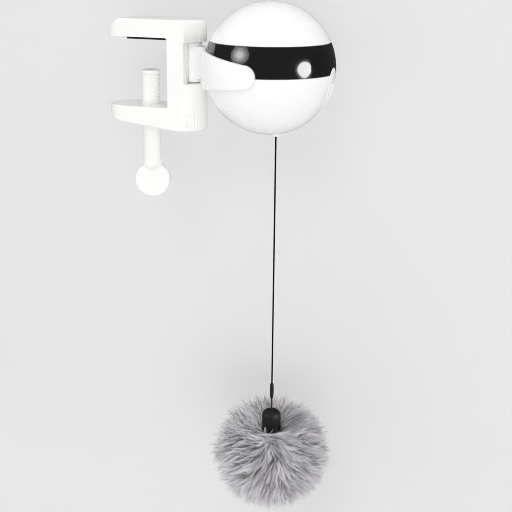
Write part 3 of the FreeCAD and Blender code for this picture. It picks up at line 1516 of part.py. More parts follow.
def battery_tray():
    """Open tray for the cells, screwed to the chassis by two ears."""
    wall = "dims.tray_wall"
    block = box(
        "tray_block",
        (f"{TRAY_INSIDE} + 2 * {wall}", f"{TRAY_INSIDE_WIDTH} + 2 * {wall}", "dims.tray_high"),
        ("0", "0"), TRAY_LOW,
    )
    limit = cylinder("tray_limit", f"{SPIGOT_INNER} - dims.tray_clear", "dims.ball_radius")
    outer = common("tray_outer", block, limit)
    inner = box(
        "tray_inner", (TRAY_INSIDE, TRAY_INSIDE_WIDTH, "dims.tray_high"), ("0", "0"),
        f"{TRAY_LOW} + dims.tray_floor",
    )
    scoop = cylinder(
        "tray_scoop", "dims.tray_high * 0.8", f"{TRAY_INSIDE_WIDTH} + 4 * {wall} + 4",
        ("0", f"-({TRAY_INSIDE_WIDTH} + 4 * {wall} + 4) / 2", f"{TRAY_LOW} + dims.tray_high * 1.35"), "Y",
    )
    ears = []
    ear_holes = []
    for side in (-1, 1):
        y = f"({side} * dims.tray_ear_aside)"
        disc = cylinder(f"ear_{side + 1}", "dims.tray_ear", "dims.tray_floor", ("0", y, TRAY_LOW))
        bridge = box(
            f"ear_bridge_{side + 1}", ("dims.tray_ear * 2", "dims.tray_ear * 1.6", "dims.tray_floor"),
            ("0", f"{side} * (dims.tray_ear_aside - dims.tray_ear * 0.8)"), TRAY_LOW,
        )
        ears += [disc, bridge]
        ear_holes.append(
            cylinder(
                f"ear_hole_{side + 1}", "dims.small_screw + dims.fit_gap", "6", ("0", y, f"{TRAY_LOW} - 1"),
            )
        )
    dividers = []
    for i in range(1, int(value("dims.cell_count"))):
        y = f"(({i} - dims.cell_count / 2) * dims.cell_pitch)"
        dividers.append(
            box(
                f"divider_{i}",
                (
                    f"{TRAY_INSIDE} * 0.72",
                    "(dims.cell_pitch - 2 * dims.cell_radius) * 0.75",
                    "dims.cell_radius * 0.9",
                ),
                ("0", y),
                f"{TRAY_LOW} + dims.tray_floor - 0.1",
            )
        )
    walls = cut("tray_walls", outer, inner, scoop)
    holes = [*ear_holes, *wire_holes("tray_wire")]
    whole = cut("tray_whole", fuse("tray_fused", walls, *ears, *dividers), *holes)
    finish("battery_tray", whole, BALL_CENTRE)
    screws = []
    for side in (-1, 1):
        y = f"({side} * dims.tray_ear_aside)"
        shank = cylinder(
            f"ear_shank_{side + 1}", "dims.small_screw", "dims.chassis_thick + dims.tray_floor",
            ("0", y, "dims.chassis_low"),
        )
        head = cylinder(
            f"ear_head_{side + 1}",
            "dims.small_head",
            "dims.small_head_high",
            ("0", y, f"{TRAY_LOW} + dims.tray_floor"),
        )
        screws.append(fuse(f"ear_screw_{side + 1}", shank, head))
    finish("tray_screws", group("ear_screw_pair", *screws), BALL_CENTRE)


def cells_and_contacts():
    """Cells side by side, turned alternately, with a spring and a plate at their ends."""
    springs = []
    plates = []
    for i in range(int(value("dims.cell_count"))):
        way = 1 if i % 2 == 0 else -1
        y = cell_y(i)
        nub_end = f"({PLATE_FACE})"
        body_end = f"({nub_end} - dims.cell_nub)"
        body_start = f"({body_end} - dims.cell_length)"
        if way > 0:
            can = cylinder(f"can_{i}", "dims.cell_radius", "dims.cell_length", (body_start, y, CELL_Z), "X")
            nub = cylinder(f"nub_{i}", "dims.cell_nub_radius", "dims.cell_nub", (body_end, y, CELL_Z), "X")
            spring = cone(
                f"spring_{i}",
                "dims.spring_radius",
                "dims.spring_tip",
                SPRING_LENGTH,
                (f"-{PLATE_FACE}", y, CELL_Z),
                "X",
            )
        else:
            can = cylinder(
                f"can_{i}", "dims.cell_radius", "dims.cell_length", (f"-{body_end}", y, CELL_Z), "X",
            )
            nub = cylinder(
                f"nub_{i}", "dims.cell_nub_radius", "dims.cell_nub", (f"-{nub_end}", y, CELL_Z), "X",
            )
            spring = cone(
                f"spring_{i}", "dims.spring_tip", "dims.spring_radius", SPRING_LENGTH,
                (f"{PLATE_FACE} - {SPRING_LENGTH}", y, CELL_Z), "X",
            )
        finish(f"battery_cell_{i + 1}", fuse(f"cell_{i}", can, nub), BALL_CENTRE)
        springs.append(spring)
        for side in (-1, 1):
            plates.append(
                box(
                    f"contact_{i}_{side + 1}", (
                        "dims.contact_thick", "dims.contact_width", "dims.contact_high",
                    ),
                    (f"{side} * ({PLATE_FACE} + dims.contact_thick / 2)", y),
                    f"{TRAY_LOW} + dims.tray_floor",
                )
            )
    finish("contact_springs", group("spring_set", *springs), BALL_CENTRE)
    finish("contact_plates", group("plate_set", *plates), BALL_CENTRE)


def wire_solid(points):
    """Round wire along straight runs that are joined by tangent arcs."""
    bend = value("dims.wire_bend")
    places = [FreeCAD.Vector(*(value(x) for x in point)) for point in points]
    edges = []
    start = places[0]
    for before, here, after in zip(places, places[1:], places[2:]):
        back = (before - here).normalize()
        ahead = (after - here).normalize()
        half = back.getAngle(ahead) / 2
        reach = bend / math.tan(half)
        middle = here + (back + ahead).normalize() * (bend / math.sin(half) - bend)
        edges.append(Part.makeLine(start, here + back * reach))
        edges.append(Part.Arc(here + back * reach, middle, here + ahead * reach).toShape())
        start = here + ahead * reach
    edges.append(Part.makeLine(start, places[-1]))
    circle = Part.makeCircle(value("dims.wire_radius"), places[0], places[1] - places[0])
    return Part.Wire(edges).makePipeShell([Part.Wire(circle)], True, False)


def wires():
    """Wires between motor, battery contacts, switch board and main board."""
    high = "dims.wire_high"
    motor_end = f"({PLATE_FAR} + dims.plate_thick + dims.motor_length)"
    left = f"({MOTOR[0]} - dims.motor_screw_aside)"
    right = f"({MOTOR[0]} + dims.motor_screw_aside)"
    switch_top = f"({SWITCH_BOARD_LOW} + dims.board_thick)"
    plus, minus = wire_holes_at()
    outer_run = [
        (left, motor_end, MOTOR[1]),
        (left, f"{motor_end} + 4.5", MOTOR[1]),
        ("-12.5", "27.5", high),
        ("-19.2", "11", high),
        ("-19.2", "-10.5", high),
        ("-13", "-17.1", high),
        ("-13", "-17.1", BOARD_TOP),
    ]
    inner_run = [
        (right, motor_end, MOTOR[1]),
        (right, f"{motor_end} + 4.5", MOTOR[1]),
        ("-6", "25", high),
        ("-17.6", "9.5", high),
        ("-17.6", "-9.5", high),
        ("-12.2", "-14.6", high),
        ("-12.2", "-14.6", BOARD_TOP),
    ]
    plus_run = [(*plus, TRAY_TOP), (*plus, high), ("12.6", "-15.6", high), ("12.6", "-15.6", BOARD_TOP)]
    minus_run = [
        (*minus, TRAY_TOP),
        (*minus, "-8"),
        ("-13", "18.6", "-19"),
        ("-5.5", "19.6", "-20.5"),
        ("-5.5", "19.6", switch_top),
    ]
    switch_run = [
        ("5.5", "19.6", switch_top),
        ("5.5", "19.6", "-20"),
        ("20", "17", "-14"),
        ("26.5", "8", "-10"),
        ("25", "-12.5", "-7"),
        ("16", "-15.2", "-9"),
        ("6.9", "-15", "-9.5"),
        ("6.9", "-15", "-dims.main_board_drop"),
    ]
    for label, runs in (
        ("motor_wires", (outer_run, inner_run)),
        ("battery_wires", (plus_run, minus_run)),
        ("switch_wire", (switch_run,)),
    ):
        solids = [feature(f"{label}_{i}", wire_solid(run)) for i, run in enumerate(runs)]
        finish(label, group(f"{label}_set", *solids), BALL_CENTRE)


# The line and the lure hang plumb under the guide; heights are from the ball's centre.
LINE_TOP = f"({GUIDE_LOW} + dims.line_start)"
SLEEVE_TOP = f"({LINE_TOP} - dims.line_free)"
LOOP_TOP = f"({SLEEVE_TOP} - dims.sleeve_length)"
CAP_TOP = f"({LOOP_TOP} - dims.loop_length)"
FUR_CENTRE = f"({CAP_TOP} - dims.cap_high - dims.cap_sink)"


def pull_line():
    """Line inside the ball from drum to guide, and the free line under it."""
    inside_low = f"({LINE_TOP} + dims.line_break)"
    inside = cylinder(
        "inside_rod", "dims.line_width / 2", f"{DRUM[1]} - {inside_low}", (*GUIDE_AT, inside_low),
    )
    finish("inner_line", inside, BALL_CENTRE)
    free = cylinder("free_rod", "dims.line_width / 2", "dims.line_free", (*GUIDE_AT, SLEEVE_TOP))
    finish("pull_line", free, BALL_CENTRE)


def line_sleeve():
    """Crimp sleeve with rounded ends under the line."""
    rod = cylinder("sleeve_rod", "dims.sleeve_radius", "dims.sleeve_length", (*GUIDE_AT, LOOP_TOP))
    soft = rounded("sleeve_soft", rod, "0.4", lambda edge: edge.Closed)
    finish("line_sleeve", soft, BALL_CENTRE)


def lure_loop():
    """Twisted wire loop between the sleeve and the cap."""
    stem = cylinder("loop_stem", "dims.loop_wire * 1.4", "dims.loop_length", (*GUIDE_AT, CAP_TOP))
    finish("lure_loop", stem, BALL_CENTRE)


def lure_cap():
    """Round cap over the fur's root, domed on top."""
    low = f"({CAP_TOP} - dims.cap_high)"
    shoulder = f"({CAP_TOP} - dims.cap_dome)"
    cap = revolved(
        "cap",
        [
            ("0", low),
            ("dims.cap_radius", low),
            ("dims.cap_radius", shoulder),
            ("dims.cap_radius * 0.42", CAP_TOP),
            ("0", CAP_TOP),
        ],
        {2: ("dims.cap_radius * 0.9", -1)},
    )
    place(cap, (*GUIDE_AT, "0"))
    finish("lure_cap", cap, BALL_CENTRE)


def widest_circle(edge):
    """Whether an edge is a closed circle wider than the core and the cap."""
    return edge.Closed and edge.BoundBox.XLength > value("dims.cap_radius * 3")


def lure_core_and_fur():
    """Core rod under the cap, and the fur ball with a hollow round the cap."""
    low = f"({CAP_TOP} - dims.cap_high)"
    core_at = (*GUIDE_AT, f"{low} - dims.core_length")
    core = cylinder("core_rod", "dims.core_radius", "dims.core_length", core_at)
    finish("lure_core", core, BALL_CENTRE)
    ball = sphere("fur_sphere", "dims.fur_radius", at=(*GUIDE_AT, FUR_CENTRE))
    foot = "(dims.cap_radius + dims.slip_gap)"
    rise = "(dims.fur_radius - dims.cap_sink)"
    hollow = cone("fur_hollow", foot, f"{foot} + {rise} * dims.fur_spread", rise, (*GUIDE_AT, low))
    bowl = cut("fur_bowl", ball, hollow)
    soft = rounded("fur_soft", bowl, "dims.fur_rim", widest_circle)
    core_room = cylinder("core_room", "dims.core_radius", "dims.core_length", core_at)
    finish("fur_ball", cut("fur_cut", soft, core_room), BALL_CENTRE)


def write_parts():
    """Check every object and write each sub-part."""
    doc.recompute()
    for obj in doc.Objects:
        if "Invalid" in obj.State or "Error" in obj.State:
            raise RuntimeError(f"{obj.Name} failed: {obj.State}")
    os.makedirs("parts", exist_ok=True)
    for piece in PIECES:
        shape = piece.Shape
        if shape.isNull() or not shape.isValid() or not shape.Solids:
            raise RuntimeError(f"{piece.Label} has no valid solid")
        shape.exportStep(os.path.join("parts", f"{piece.Label}.step"))
        print(f"{piece.Label}: {len(shape.Solids)} solids, {shape.Volume:.1f} mm3")


clamp_frame()
jaw_pad()
clamp_screw()
screw_tip_disc()
pivot_pin()
pivot_foot()
pivot_washers()
cradle()
lower_shell()
band_ring()
top_dome()
line_guide()
power_button()
switch_parts()
drive_gears()
line_drum()
line_winding()
chassis()
drive_plate()
axles()
drive_screws()
motor()
chassis_screws()
main_board()
battery_tray()
cells_and_contacts()
wires()
pull_line()
line_sleeve()
lure_loop()
lure_cap()
lure_core_and_fur()
write_parts()
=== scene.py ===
"""Looks of an electric cat ball that hangs from a table clamp.

A C-shaped clamp carries a swivelling fork. The fork holds a white ball with a dark band, and a line
from the ball holds a long-haired lure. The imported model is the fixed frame: every piece here is in
metres in its axes, with +Z up and the jaws towards -X.
"""

import json
import logging
import math
from dataclasses import dataclass
from enum import Enum
from typing import Any, Iterable, Sequence

import bmesh
import bpy
import numpy as np
from mathutils import Matrix, Vector


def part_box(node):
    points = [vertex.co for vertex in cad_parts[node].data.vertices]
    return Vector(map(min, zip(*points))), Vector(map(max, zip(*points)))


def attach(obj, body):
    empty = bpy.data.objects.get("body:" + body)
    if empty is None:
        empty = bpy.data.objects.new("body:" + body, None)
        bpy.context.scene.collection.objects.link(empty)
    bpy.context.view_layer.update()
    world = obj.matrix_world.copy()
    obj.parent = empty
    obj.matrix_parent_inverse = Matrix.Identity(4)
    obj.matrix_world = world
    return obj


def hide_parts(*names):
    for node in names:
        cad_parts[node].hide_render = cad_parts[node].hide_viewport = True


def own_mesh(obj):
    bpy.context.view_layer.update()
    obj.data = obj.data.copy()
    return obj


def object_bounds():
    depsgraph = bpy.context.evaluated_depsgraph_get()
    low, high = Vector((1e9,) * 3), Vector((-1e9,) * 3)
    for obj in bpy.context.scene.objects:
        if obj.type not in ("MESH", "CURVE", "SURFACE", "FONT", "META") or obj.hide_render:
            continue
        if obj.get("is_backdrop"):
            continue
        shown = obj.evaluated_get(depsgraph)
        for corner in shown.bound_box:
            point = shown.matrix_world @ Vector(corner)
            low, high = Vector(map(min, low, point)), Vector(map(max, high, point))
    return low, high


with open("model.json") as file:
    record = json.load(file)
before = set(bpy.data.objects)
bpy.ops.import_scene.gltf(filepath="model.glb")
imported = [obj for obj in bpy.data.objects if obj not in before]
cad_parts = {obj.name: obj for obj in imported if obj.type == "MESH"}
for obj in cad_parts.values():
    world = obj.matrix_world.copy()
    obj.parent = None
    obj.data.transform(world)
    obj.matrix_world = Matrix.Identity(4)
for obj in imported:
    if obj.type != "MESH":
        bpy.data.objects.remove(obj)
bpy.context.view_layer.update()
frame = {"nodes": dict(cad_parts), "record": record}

LOG = logging.getLogger("cat_ball")
MM = 0.001
PHOTO_WIDTH = 512
BALL_CENTRE = (0.0805, 0.0, -0.0155)

Block = tuple[np.ndarray, np.ndarray]
Colour = tuple[float, float, float]
Way = tuple[float, float, float]


class Body(Enum):
    """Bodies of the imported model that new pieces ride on."""

    CLAMP = "clamp"
    SCREW = "screw"
    LINE = "line"
    LURE = "lure"


class Wire:
    """An output socket of a shader tree that takes part in Python expressions."""

    def __init__(self, tree: "Tree", socket: bpy.types.NodeSocket) -> None:
        """Keep the tree and the socket."""
        self.tree = tree
        self.socket = socket

    def _maths(self, operation: str, *values: Any) -> "Wire":
        """Add a Math node of one operation."""
        return self.tree.node("ShaderNodeMath", {"operation": operation}, dict(enumerate(values)))

    def __add__(self, other: Any) -> "Wire":
        """Sum of two values."""
        return self._maths("ADD", self, other)

    __radd__ = __add__

    def __sub__(self, other: Any) -> "Wire":
        """Difference of two values."""
        return self._maths("SUBTRACT", self, other)

    def __rsub__(self, other: Any) -> "Wire":
        """A value less this one."""
        return self._maths("SUBTRACT", other, self)

    def __mul__(self, other: Any) -> "Wire":
        """Product of two values."""
        return self._maths("MULTIPLY", self, other)

    __rmul__ = __mul__

    def sine(self) -> "Wire":
        """Sine of this value in radians."""
        return self._maths("SINE", self)

    def size(self) -> "Wire":
        """This value without its sign."""
        return self._maths("ABSOLUTE", self)

    def ramp(self, low: float, high: float) -> "Wire":
        """Smooth step from zero at low to one at high."""
        settings = {"interpolation_type": "SMOOTHSTEP"}
        return self.tree.node("ShaderNodeMapRange", settings, {0: self, 1: low, 2: high})


class Tree:
    """Node tree of one material, with a Principled shader ready."""

    def __init__(self, name: str) -> None:
        """Make an empty material and its shader.

        Args:
            name: Name of the material.
        """
        self.material = bpy.data.materials.new(name)
        self.material.use_nodes = True
        self.nodes = self.material.node_tree.nodes
        self.links = self.material.node_tree.links
        self.nodes.clear()
        self.output = self.nodes.new("ShaderNodeOutputMaterial")
        self.shader = self.nodes.new("ShaderNodeBsdfPrincipled")
        self.links.new(self.shader.outputs[0], self.output.inputs["Surface"])

    def feed(self, socket: bpy.types.NodeSocket, value: Any) -> None:
        """Link a wire to a socket, or set the socket to a plain value.

        Args:
            socket: The socket.
            value: The wire or the value.
        """
        if isinstance(value, Wire):
            self.links.new(value.socket, socket)
        else:
            socket.default_value = value

    def node(
        self, kind: str, settings: dict[str, Any], inputs: dict[Any, Any], out: Any = 0
    ) -> Wire:
        """Add a node.

        Args:
            kind: Type of the node.
            settings: Properties that are set before its sockets.
            inputs: Values or wires by socket name or number.
            out: Name or number of the output wanted.

        Returns:
            The output as a wire.
        """
        made = self.nodes.new(kind)
        for name, value in settings.items():
            setattr(made, name, value)
        for key, value in inputs.items():
            self.feed(made.inputs[key], value)
        return Wire(self, made.outputs[out])

    def place(self) -> Wire:
        """Object coordinates."""
        return self.node("ShaderNodeTexCoord", {}, {}, "Object")

    def part(self, vector: Wire, axis: str) -> Wire:
        """One component of a vector."""
        return self.node("ShaderNodeSeparateXYZ", {}, {0: vector}, axis)

    def noise(self, scale: float, detail: float = 2.0, at: Wire | None = None) -> Wire:
        """Noise from zero to one over object coordinates, scale in waves per metre."""
        inputs = {"Vector": at or self.place(), "Scale": scale, "Detail": detail}
        return self.node("ShaderNodeTexNoise", {}, inputs, "Fac")

    def stretched(self, sizes: Sequence[float]) -> Wire:
        """Object coordinates scaled along each axis."""
        settings = {"operation": "MULTIPLY"}
        return self.node("ShaderNodeVectorMath", settings, {0: self.place(), 1: tuple(sizes)})

    def attribute(self, name: str) -> Wire:
        """Number stored on the piece's points."""
        return self.node("ShaderNodeAttribute", {"attribute_name": name}, {}, "Fac")

    def ray(self, kind: str) -> Wire:
        """One where the surface is met by a ray of this kind, else zero."""
        return self.node("ShaderNodeLightPath", {}, {}, kind)

    def blend(self, amount: Any, first: Any, second: Any) -> Wire:
        """Mix two colours.

        Args:
            amount: 0 for the first colour, 1 for the second.
            first: A colour or a wire.
            second: A colour or a wire.

        Returns:
            The mixed colour as a wire.
        """
        made = self.nodes.new("ShaderNodeMix")
        made.data_type = "RGBA"
        self.feed(made.inputs["Factor"], amount)
        for key, value in ((6, first), (7, second)):
            self.feed(made.inputs[key], value if isinstance(value, Wire) else (*value, 1.0))
        return Wire(self, made.outputs[2])

    def bump(self, height: Wire, distance: float) -> None:
        """Raise the surface by a height of one at this distance in metres."""
        inputs = {"Height": height, "Distance": distance, "Strength": 1.0}
        self.feed(self.shader.inputs["Normal"], self.node("ShaderNodeBump", {}, inputs))

    def cover(self, amount: Wire, shader: Wire) -> None:
        """Mix another shader over the surface.

        Args:
            amount: 0 for the surface's own shader, 1 or more for the other.
            shader: The other shader.
        """
        own = Wire(self, self.shader.outputs[0])
        mixed = self.node("ShaderNodeMixShader", {}, {0: amount, 1: own, 2: shader})
        self.feed(self.output.inputs["Surface"], mixed)

    def set(self, **values: Any) -> None:
        """Set or link sockets of the shader, with underscores for the spaces in their names."""
        for name, value in values.items():
            self.feed(self.shader.inputs[name.replace("_", " ")], value)


class Look:
    """A finish, kept as settings that can build their material."""

    def paint(self, tree: Tree) -> None:
        """Set the sockets of a new tree's shader."""
        raise NotImplementedError

    def build(self, name: str) -> bpy.types.Material:
        """Build the finish as a material.

        Args:
            name: Name of the material.

        Returns:
            The material.
        """
        tree = Tree(name)
        self.paint(tree)
        return tree.material


@dataclass(frozen=True)
class Moulding(Look):
    """Moulded plastic or rubber: faint clouding, handling marks and a fine grain.

    A finish gives its colour, its roughness, and the depth and the size of its grain in this order,
    the last two in metres. Waves are per metre.
    """

    colour: Colour
    roughness: float
    grain_depth: float = 0.00001
    grain_size: float = 0.0006
    clouding: float = 0.03
    smudges: float = 0.05
    coat: float = 0.0
    specular: float = 0.5
    coat_roughness: float = 0.04
    cloud_waves: float = 55.0
    smudge_waves: float = 90.0
    smudge_edges: tuple[float, float] = (0.45, 0.75)

    def paint(self, tree: Tree) -> None:
        """Set the shader.

        Args:
            tree: Tree of the new material.
        """
        cloud = tree.noise(self.cloud_waves, 3.0)
        shade = tuple(part * (1 - self.clouding) for part in self.colour)
        smudge = tree.noise(self.smudge_waves, 5.0).ramp(*self.smudge_edges)
        tree.set(
            Base_Color=tree.blend(cloud, self.colour, shade),
            Roughness=smudge * self.smudges + self.roughness,
            Coat_Weight=self.coat,
            Coat_Roughness=self.coat_roughness,
            Specular_IOR_Level=self.specular,
        )
        tree.bump(tree.noise(1 / self.grain_size), self.grain_depth)


@dataclass(frozen=True)
class Metal(Look):
    """Drawn or turned metal with fine lines along one axis and dull patches."""

    colour: Colour
    roughness: float = 0.3
    lines: Way = (4000.0, 300.0, 4000.0)
    line_roughness: float = 0.2
    line_depth: float = 0.000008
    patch_waves: float = 150.0
    patch_shade: float = 0.78

    def paint(self, tree: Tree) -> None:
        """Set the shader.

        Args:
            tree: Tree of the new material.
        """
        drawn = tree.noise(1.0, at=tree.stretched(self.lines))
        dull = tuple(part * self.patch_shade for part in self.colour)
        tree.set(
            Base_Color=tree.blend(tree.noise(self.patch_waves, 3.0), self.colour, dull),
            Roughness=drawn * self.line_roughness + self.roughness,
            Metallic=1.0,
        )
        tree.bump(drawn, self.line_depth)


@dataclass(frozen=True)
class BoardLacquer(Look):
    """Green lacquer over copper tracks that run along the board and waver a little."""

    lacquer: Colour = (0.05, 0.22, 0.09)
    track: Colour = (0.10, 0.34, 0.14)
    roughness: float = 0.35
    pitch: float = 0.0016
    track_edges: tuple[float, float] = (0.1, 0.3)
    track_depth: float = 0.00003
    waver_waves: float = 120.0
    waver: float = 3.0

    def paint(self, tree: Tree) -> None:
        """Set the shader.

        Args:
            tree: Tree of the new material.
        """
        across = tree.part(tree.place(), "Y") * (2 * math.pi / self.pitch)
        waver = tree.noise(self.waver_waves, 0.0) * self.waver
        stripe = (across + waver).sine().ramp(*self.track_edges)
        tree.set(
            Base_Color=tree.blend(stripe, self.lacquer, self.track), Roughness=self.roughness
        )
        tree.bump(stripe, self.track_depth)


@dataclass(frozen=True)
class CellSleeve(Look):
    """Plain shrunk sleeve of a battery cell, with a pale ring near each end."""

    dark: Colour = (0.08, 0.10, 0.13)
    pale: Colour = (0.55, 0.52, 0.44)
    roughness: float = 0.28
    middle_x: float = BALL_CENTRE[0]
    ring_at: float = 0.013
    ring_half: float = 0.002
    ring_core: float = 0.9
    wrinkle_waves: float = 700.0
    wrinkle_depth: float = 0.00002

    def paint(self, tree: Tree) -> None:
        """Set the shader.

        Args:
            tree: Tree of the new material.
        """
        along = (tree.part(tree.place(), "X") - self.middle_x).size()
        past = (along - self.ring_at).size().ramp(self.ring_half * self.ring_core, self.ring_half)
        tree.set(Base_Color=tree.blend(1 - past, self.dark, self.pale), Roughness=self.roughness)
        tree.bump(tree.noise(self.wrinkle_waves), self.wrinkle_depth)


@dataclass(frozen=True)
class Braid(Look):
    """Braided or twisted fibre: one or two sets of slanting strands over the piece's own map."""

    colour: Colour
    # shade: painted shade for the grooves between the strands.
    shade: Colour
    turns: float
    crossings: float
    roughness: float
    crossed: bool = True
    specular: float = 0.1
    depth: float = 0.00008

    def paint(self, tree: Tree) -> None:
        """Set the shader.

        Args:
            tree: Tree of the new material.
        """
        chart = tree.node("ShaderNodeUVMap", {}, {})
        across = tree.part(chart, "X") * (2 * math.pi * self.turns)
        along = tree.part(chart, "Y") * (2 * math.pi * self.crossings)
        strands = (across + along).sine()
        if self.crossed:
            strands = strands * (across - along).sine()
        relief = strands.size()
        # Painted shade: where the relief is low, between the strands, the colour is the shade
        # colour.
        tree.set(
            Base_Color=tree.blend(relief, self.shade, self.colour),
            Roughness=self.roughness,
            Specular_IOR_Level=self.specular,
        )
        tree.bump(relief, self.depth)


@dataclass(frozen=True)
class Pile(Look):
    """Long animal pile: painted shade at the roots, then hair by hair its own tone and tint."""

    # root: painted shade of the pile's depth, laid on near each hair's root.
    root: Colour = (0.045, 0.043, 0.047)
    dark: Colour = (0.05, 0.048, 0.053)
    pale: Colour = (0.97, 0.96, 0.98)
    warm: Colour = (0.76, 0.68, 0.75)
    warmth: float = 0.4
    root_edges: tuple[float, float] = (0.25, 0.60)
    roughness: float = 0.5
    specular: float = 0.35
    sheen: float = 0.7
    sheen_roughness: float = 0.6

    def paint(self, tree: Tree) -> None:
        """Set the shader.

        Args:
            tree: Tree of the new material.
        """
        # Painted shade: from the root out to the ramp's edges the hairs take the root colour.
        along = tree.attribute("along").ramp(*self.root_edges)
        hair = tree.blend(tree.attribute("tone").ramp(0.0, 1.0), self.dark, self.pale)
        tinted = tree.blend(tree.attribute("warmth") * self.warmth, hair, self.warm)
        tree.set(
            Base_Color=tree.blend(along, self.root, tinted),
            Roughness=self.roughness,
            Specular_IOR_Level=self.specular,
            Sheen_Weight=self.sheen,
            Sheen_Roughness=self.sheen_roughness,
        )


@dataclass(frozen=True)
class Paper(Look):
    """Matt sweep of the studio: a part of its grey is its own light, so its shadows stay soft.

    From behind it is clear, and lamps shine through it, so that the object is also seen from there.
    """

    colour: Colour = (0.525, 0.525, 0.525)
    own_light: Colour = (0.23, 0.23, 0.23)
    bounced: Colour = (0.80, 0.80, 0.80)
    mirrored: Colour = (0.06, 0.06, 0.06)
    no_light: Colour = (0.0, 0.0, 0.0)
    roughness: float = 0.95

    def paint(self, tree: Tree) -> None:
        """Set the shader, one colour for the camera, one for mirrors and one for bounced light.

        Args:
            tree: Tree of the new material.
        """
        seen = tree.ray("Is Camera Ray")
        matt = tree.blend(seen, self.bounced, self.colour)
        tree.set(
            Base_Color=tree.blend(tree.ray("Is Glossy Ray"), matt, self.mirrored),
            Emission_Color=tree.blend(seen, self.no_light, self.own_light),
            Emission_Strength=1.0,
            Roughness=self.roughness,
            Specular_IOR_Level=0.0,
        )
        behind = tree.node("ShaderNodeNewGeometry", {}, {}, "Backfacing")
        clear = tree.node("ShaderNodeBsdfTransparent", {}, {}, "BSDF")
        tree.cover(behind + tree.ray("Is Shadow Ray"), clear)


class Finish(Enum):
    """Every finish of the object, by the record's slot."""

    white_gloss = Moulding((0.92, 0.92, 0.915), 0.25, clouding=0.008, coat=0.03, specular=0.12)
    white_satin = Moulding(
        (0.90, 0.895, 0.88), 0.40, 0.00002, 0.0005, clouding=0.015, specular=0.15
    )
    black_gloss = Moulding(
        (0.010, 0.010, 0.011), 0.085, 0.000004, 0.0012, clouding=0.3, coat=0.6
    )
    black_rubber = Moulding((0.022, 0.022, 0.023), 0.75, 0.00006, 0.0004, clouding=0.2)
    grey_plastic = Moulding((0.40, 0.41, 0.42), 0.45, 0.00003, 0.0005, clouding=0.06)
    white_acetal = Moulding((0.80, 0.79, 0.75), 0.3, 0.00001, 0.0005)
    chip_black = Moulding((0.02, 0.02, 0.021), 0.55, 0.00003, 0.0003, clouding=0.2)
    cap_black = Moulding(
        (0.016, 0.0165, 0.018), 0.50, 0.0006, 0.0035, clouding=0.3, smudges=0.2, specular=0.4
    )
    steel = Metal((0.62, 0.62, 0.63))
    motor_steel = Metal((0.55, 0.55, 0.56), 0.34, lines=(300.0, 4000.0, 300.0))
    brass = Metal((0.78, 0.60, 0.30))
    board_green = BoardLacquer()
    cell_wrap = CellSleeve()
    line_black = Braid(
        (0.006, 0.006, 0.0065), (0.002, 0.002, 0.002), turns=2.0, crossings=90.0, roughness=0.95
    )
    loop_wire = Braid(
        (0.045, 0.044, 0.043),
        (0.012, 0.012, 0.012),
        turns=1.0,
        crossings=6.0,
        roughness=0.4,
        crossed=False,
    )
    fur_grey = Pile()
    wire_jacket = Moulding((0.45, 0.03, 0.025), 0.5, 0.00001, 0.0004, clouding=0.1)


class Materials:
    """Materials of the object, each built once."""

    def __init__(self) -> None:
        """Start with nothing built."""
        self.made: dict[Finish, bpy.types.Material] = {}

    def dress(self, obj: bpy.types.Object, finish: Finish) -> None:
        """Give an object one finish in place of whatever it has.

        Args:
            obj: The object.
            finish: Its finish.
        """
        if finish not in self.made:
            self.made[finish] = finish.value.build(finish.name)
        obj.data.materials.clear()
        obj.data.materials.append(self.made[finish])

    def settle(
        self, obj: bpy.types.Object, finish: Finish, body: Body, *nodes: str, slot: str = ""
    ) -> None:
        """Dress a new piece, and let it ride on a body and stand for its nodes.

        Args:
            obj: The piece.
            finish: Its finish.
            body: Body that it rides on.
            nodes: Nodes that it stands for.
            slot: Not used.
        """
        self.dress(obj, finish)
        slot = slot or finish.name
        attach(obj, body.value)
        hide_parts(*nodes)
        LOG.info("%s: %d faces", obj.name, len(obj.data.polygons))


def unit(vectors: Any) -> np.ndarray:
    """Vectors along the last axis, each brought to the length of one."""
    return np.array(vectors) / np.linalg.norm(vectors, axis=-1, keepdims=True)


def grid_block(
    points: np.ndarray, wrap_rows: bool = False, wrap_columns: bool = False
) -> Block:
    """Turn a grid of points into vertices and four-sided faces.

    Each cell of the grid is one face, and a wrapped direction joins its last line to its first.

    Args:
        points: Array of rows, columns and three coordinates.
        wrap_rows: Whether the last row joins the first.
        wrap_columns: Whether the last column joins the first.

    Returns:
        The vertices and the faces.
    """
    rows, columns = points.shape[:2]
    index = np.arange(rows * columns).reshape(rows, columns)
    i = np.arange(rows if wrap_rows else rows - 1)
    j = np.arange(columns if wrap_columns else columns - 1)
    i, j = (part.ravel() for part in np.meshgrid(i, j, indexing="ij"))
    down, right = (i + 1) % rows, (j + 1) % columns
    faces = np.stack([index[i, j], index[down, j], index[down, right], index[i, right]], 1)
    return points.reshape(-1, 3), faces


def lathe_block(profile: np.ndarray, sides: int, centre: Sequence[float]) -> Block:
    """Turn a profile about the vertical: radius and height per point, closed at radius zero.

    Args:
        profile: Array of (radius, height) in metres, listed so that the faces point outwards.
        sides: Steps round the axis.
        centre: Where the axis and the height zero are.

    Returns:
        The vertices and the faces.
    """
    angle = np.linspace(0, 2 * math.pi, sides, endpoint=False)
    radius, height = profile[:, :1], profile[:, 1:]
    parts = np.broadcast_arrays(radius * np.cos(angle), radius * np.sin(angle), height)
    return grid_block(np.stack(parts, axis=2) + np.array(centre), wrap_columns=True)


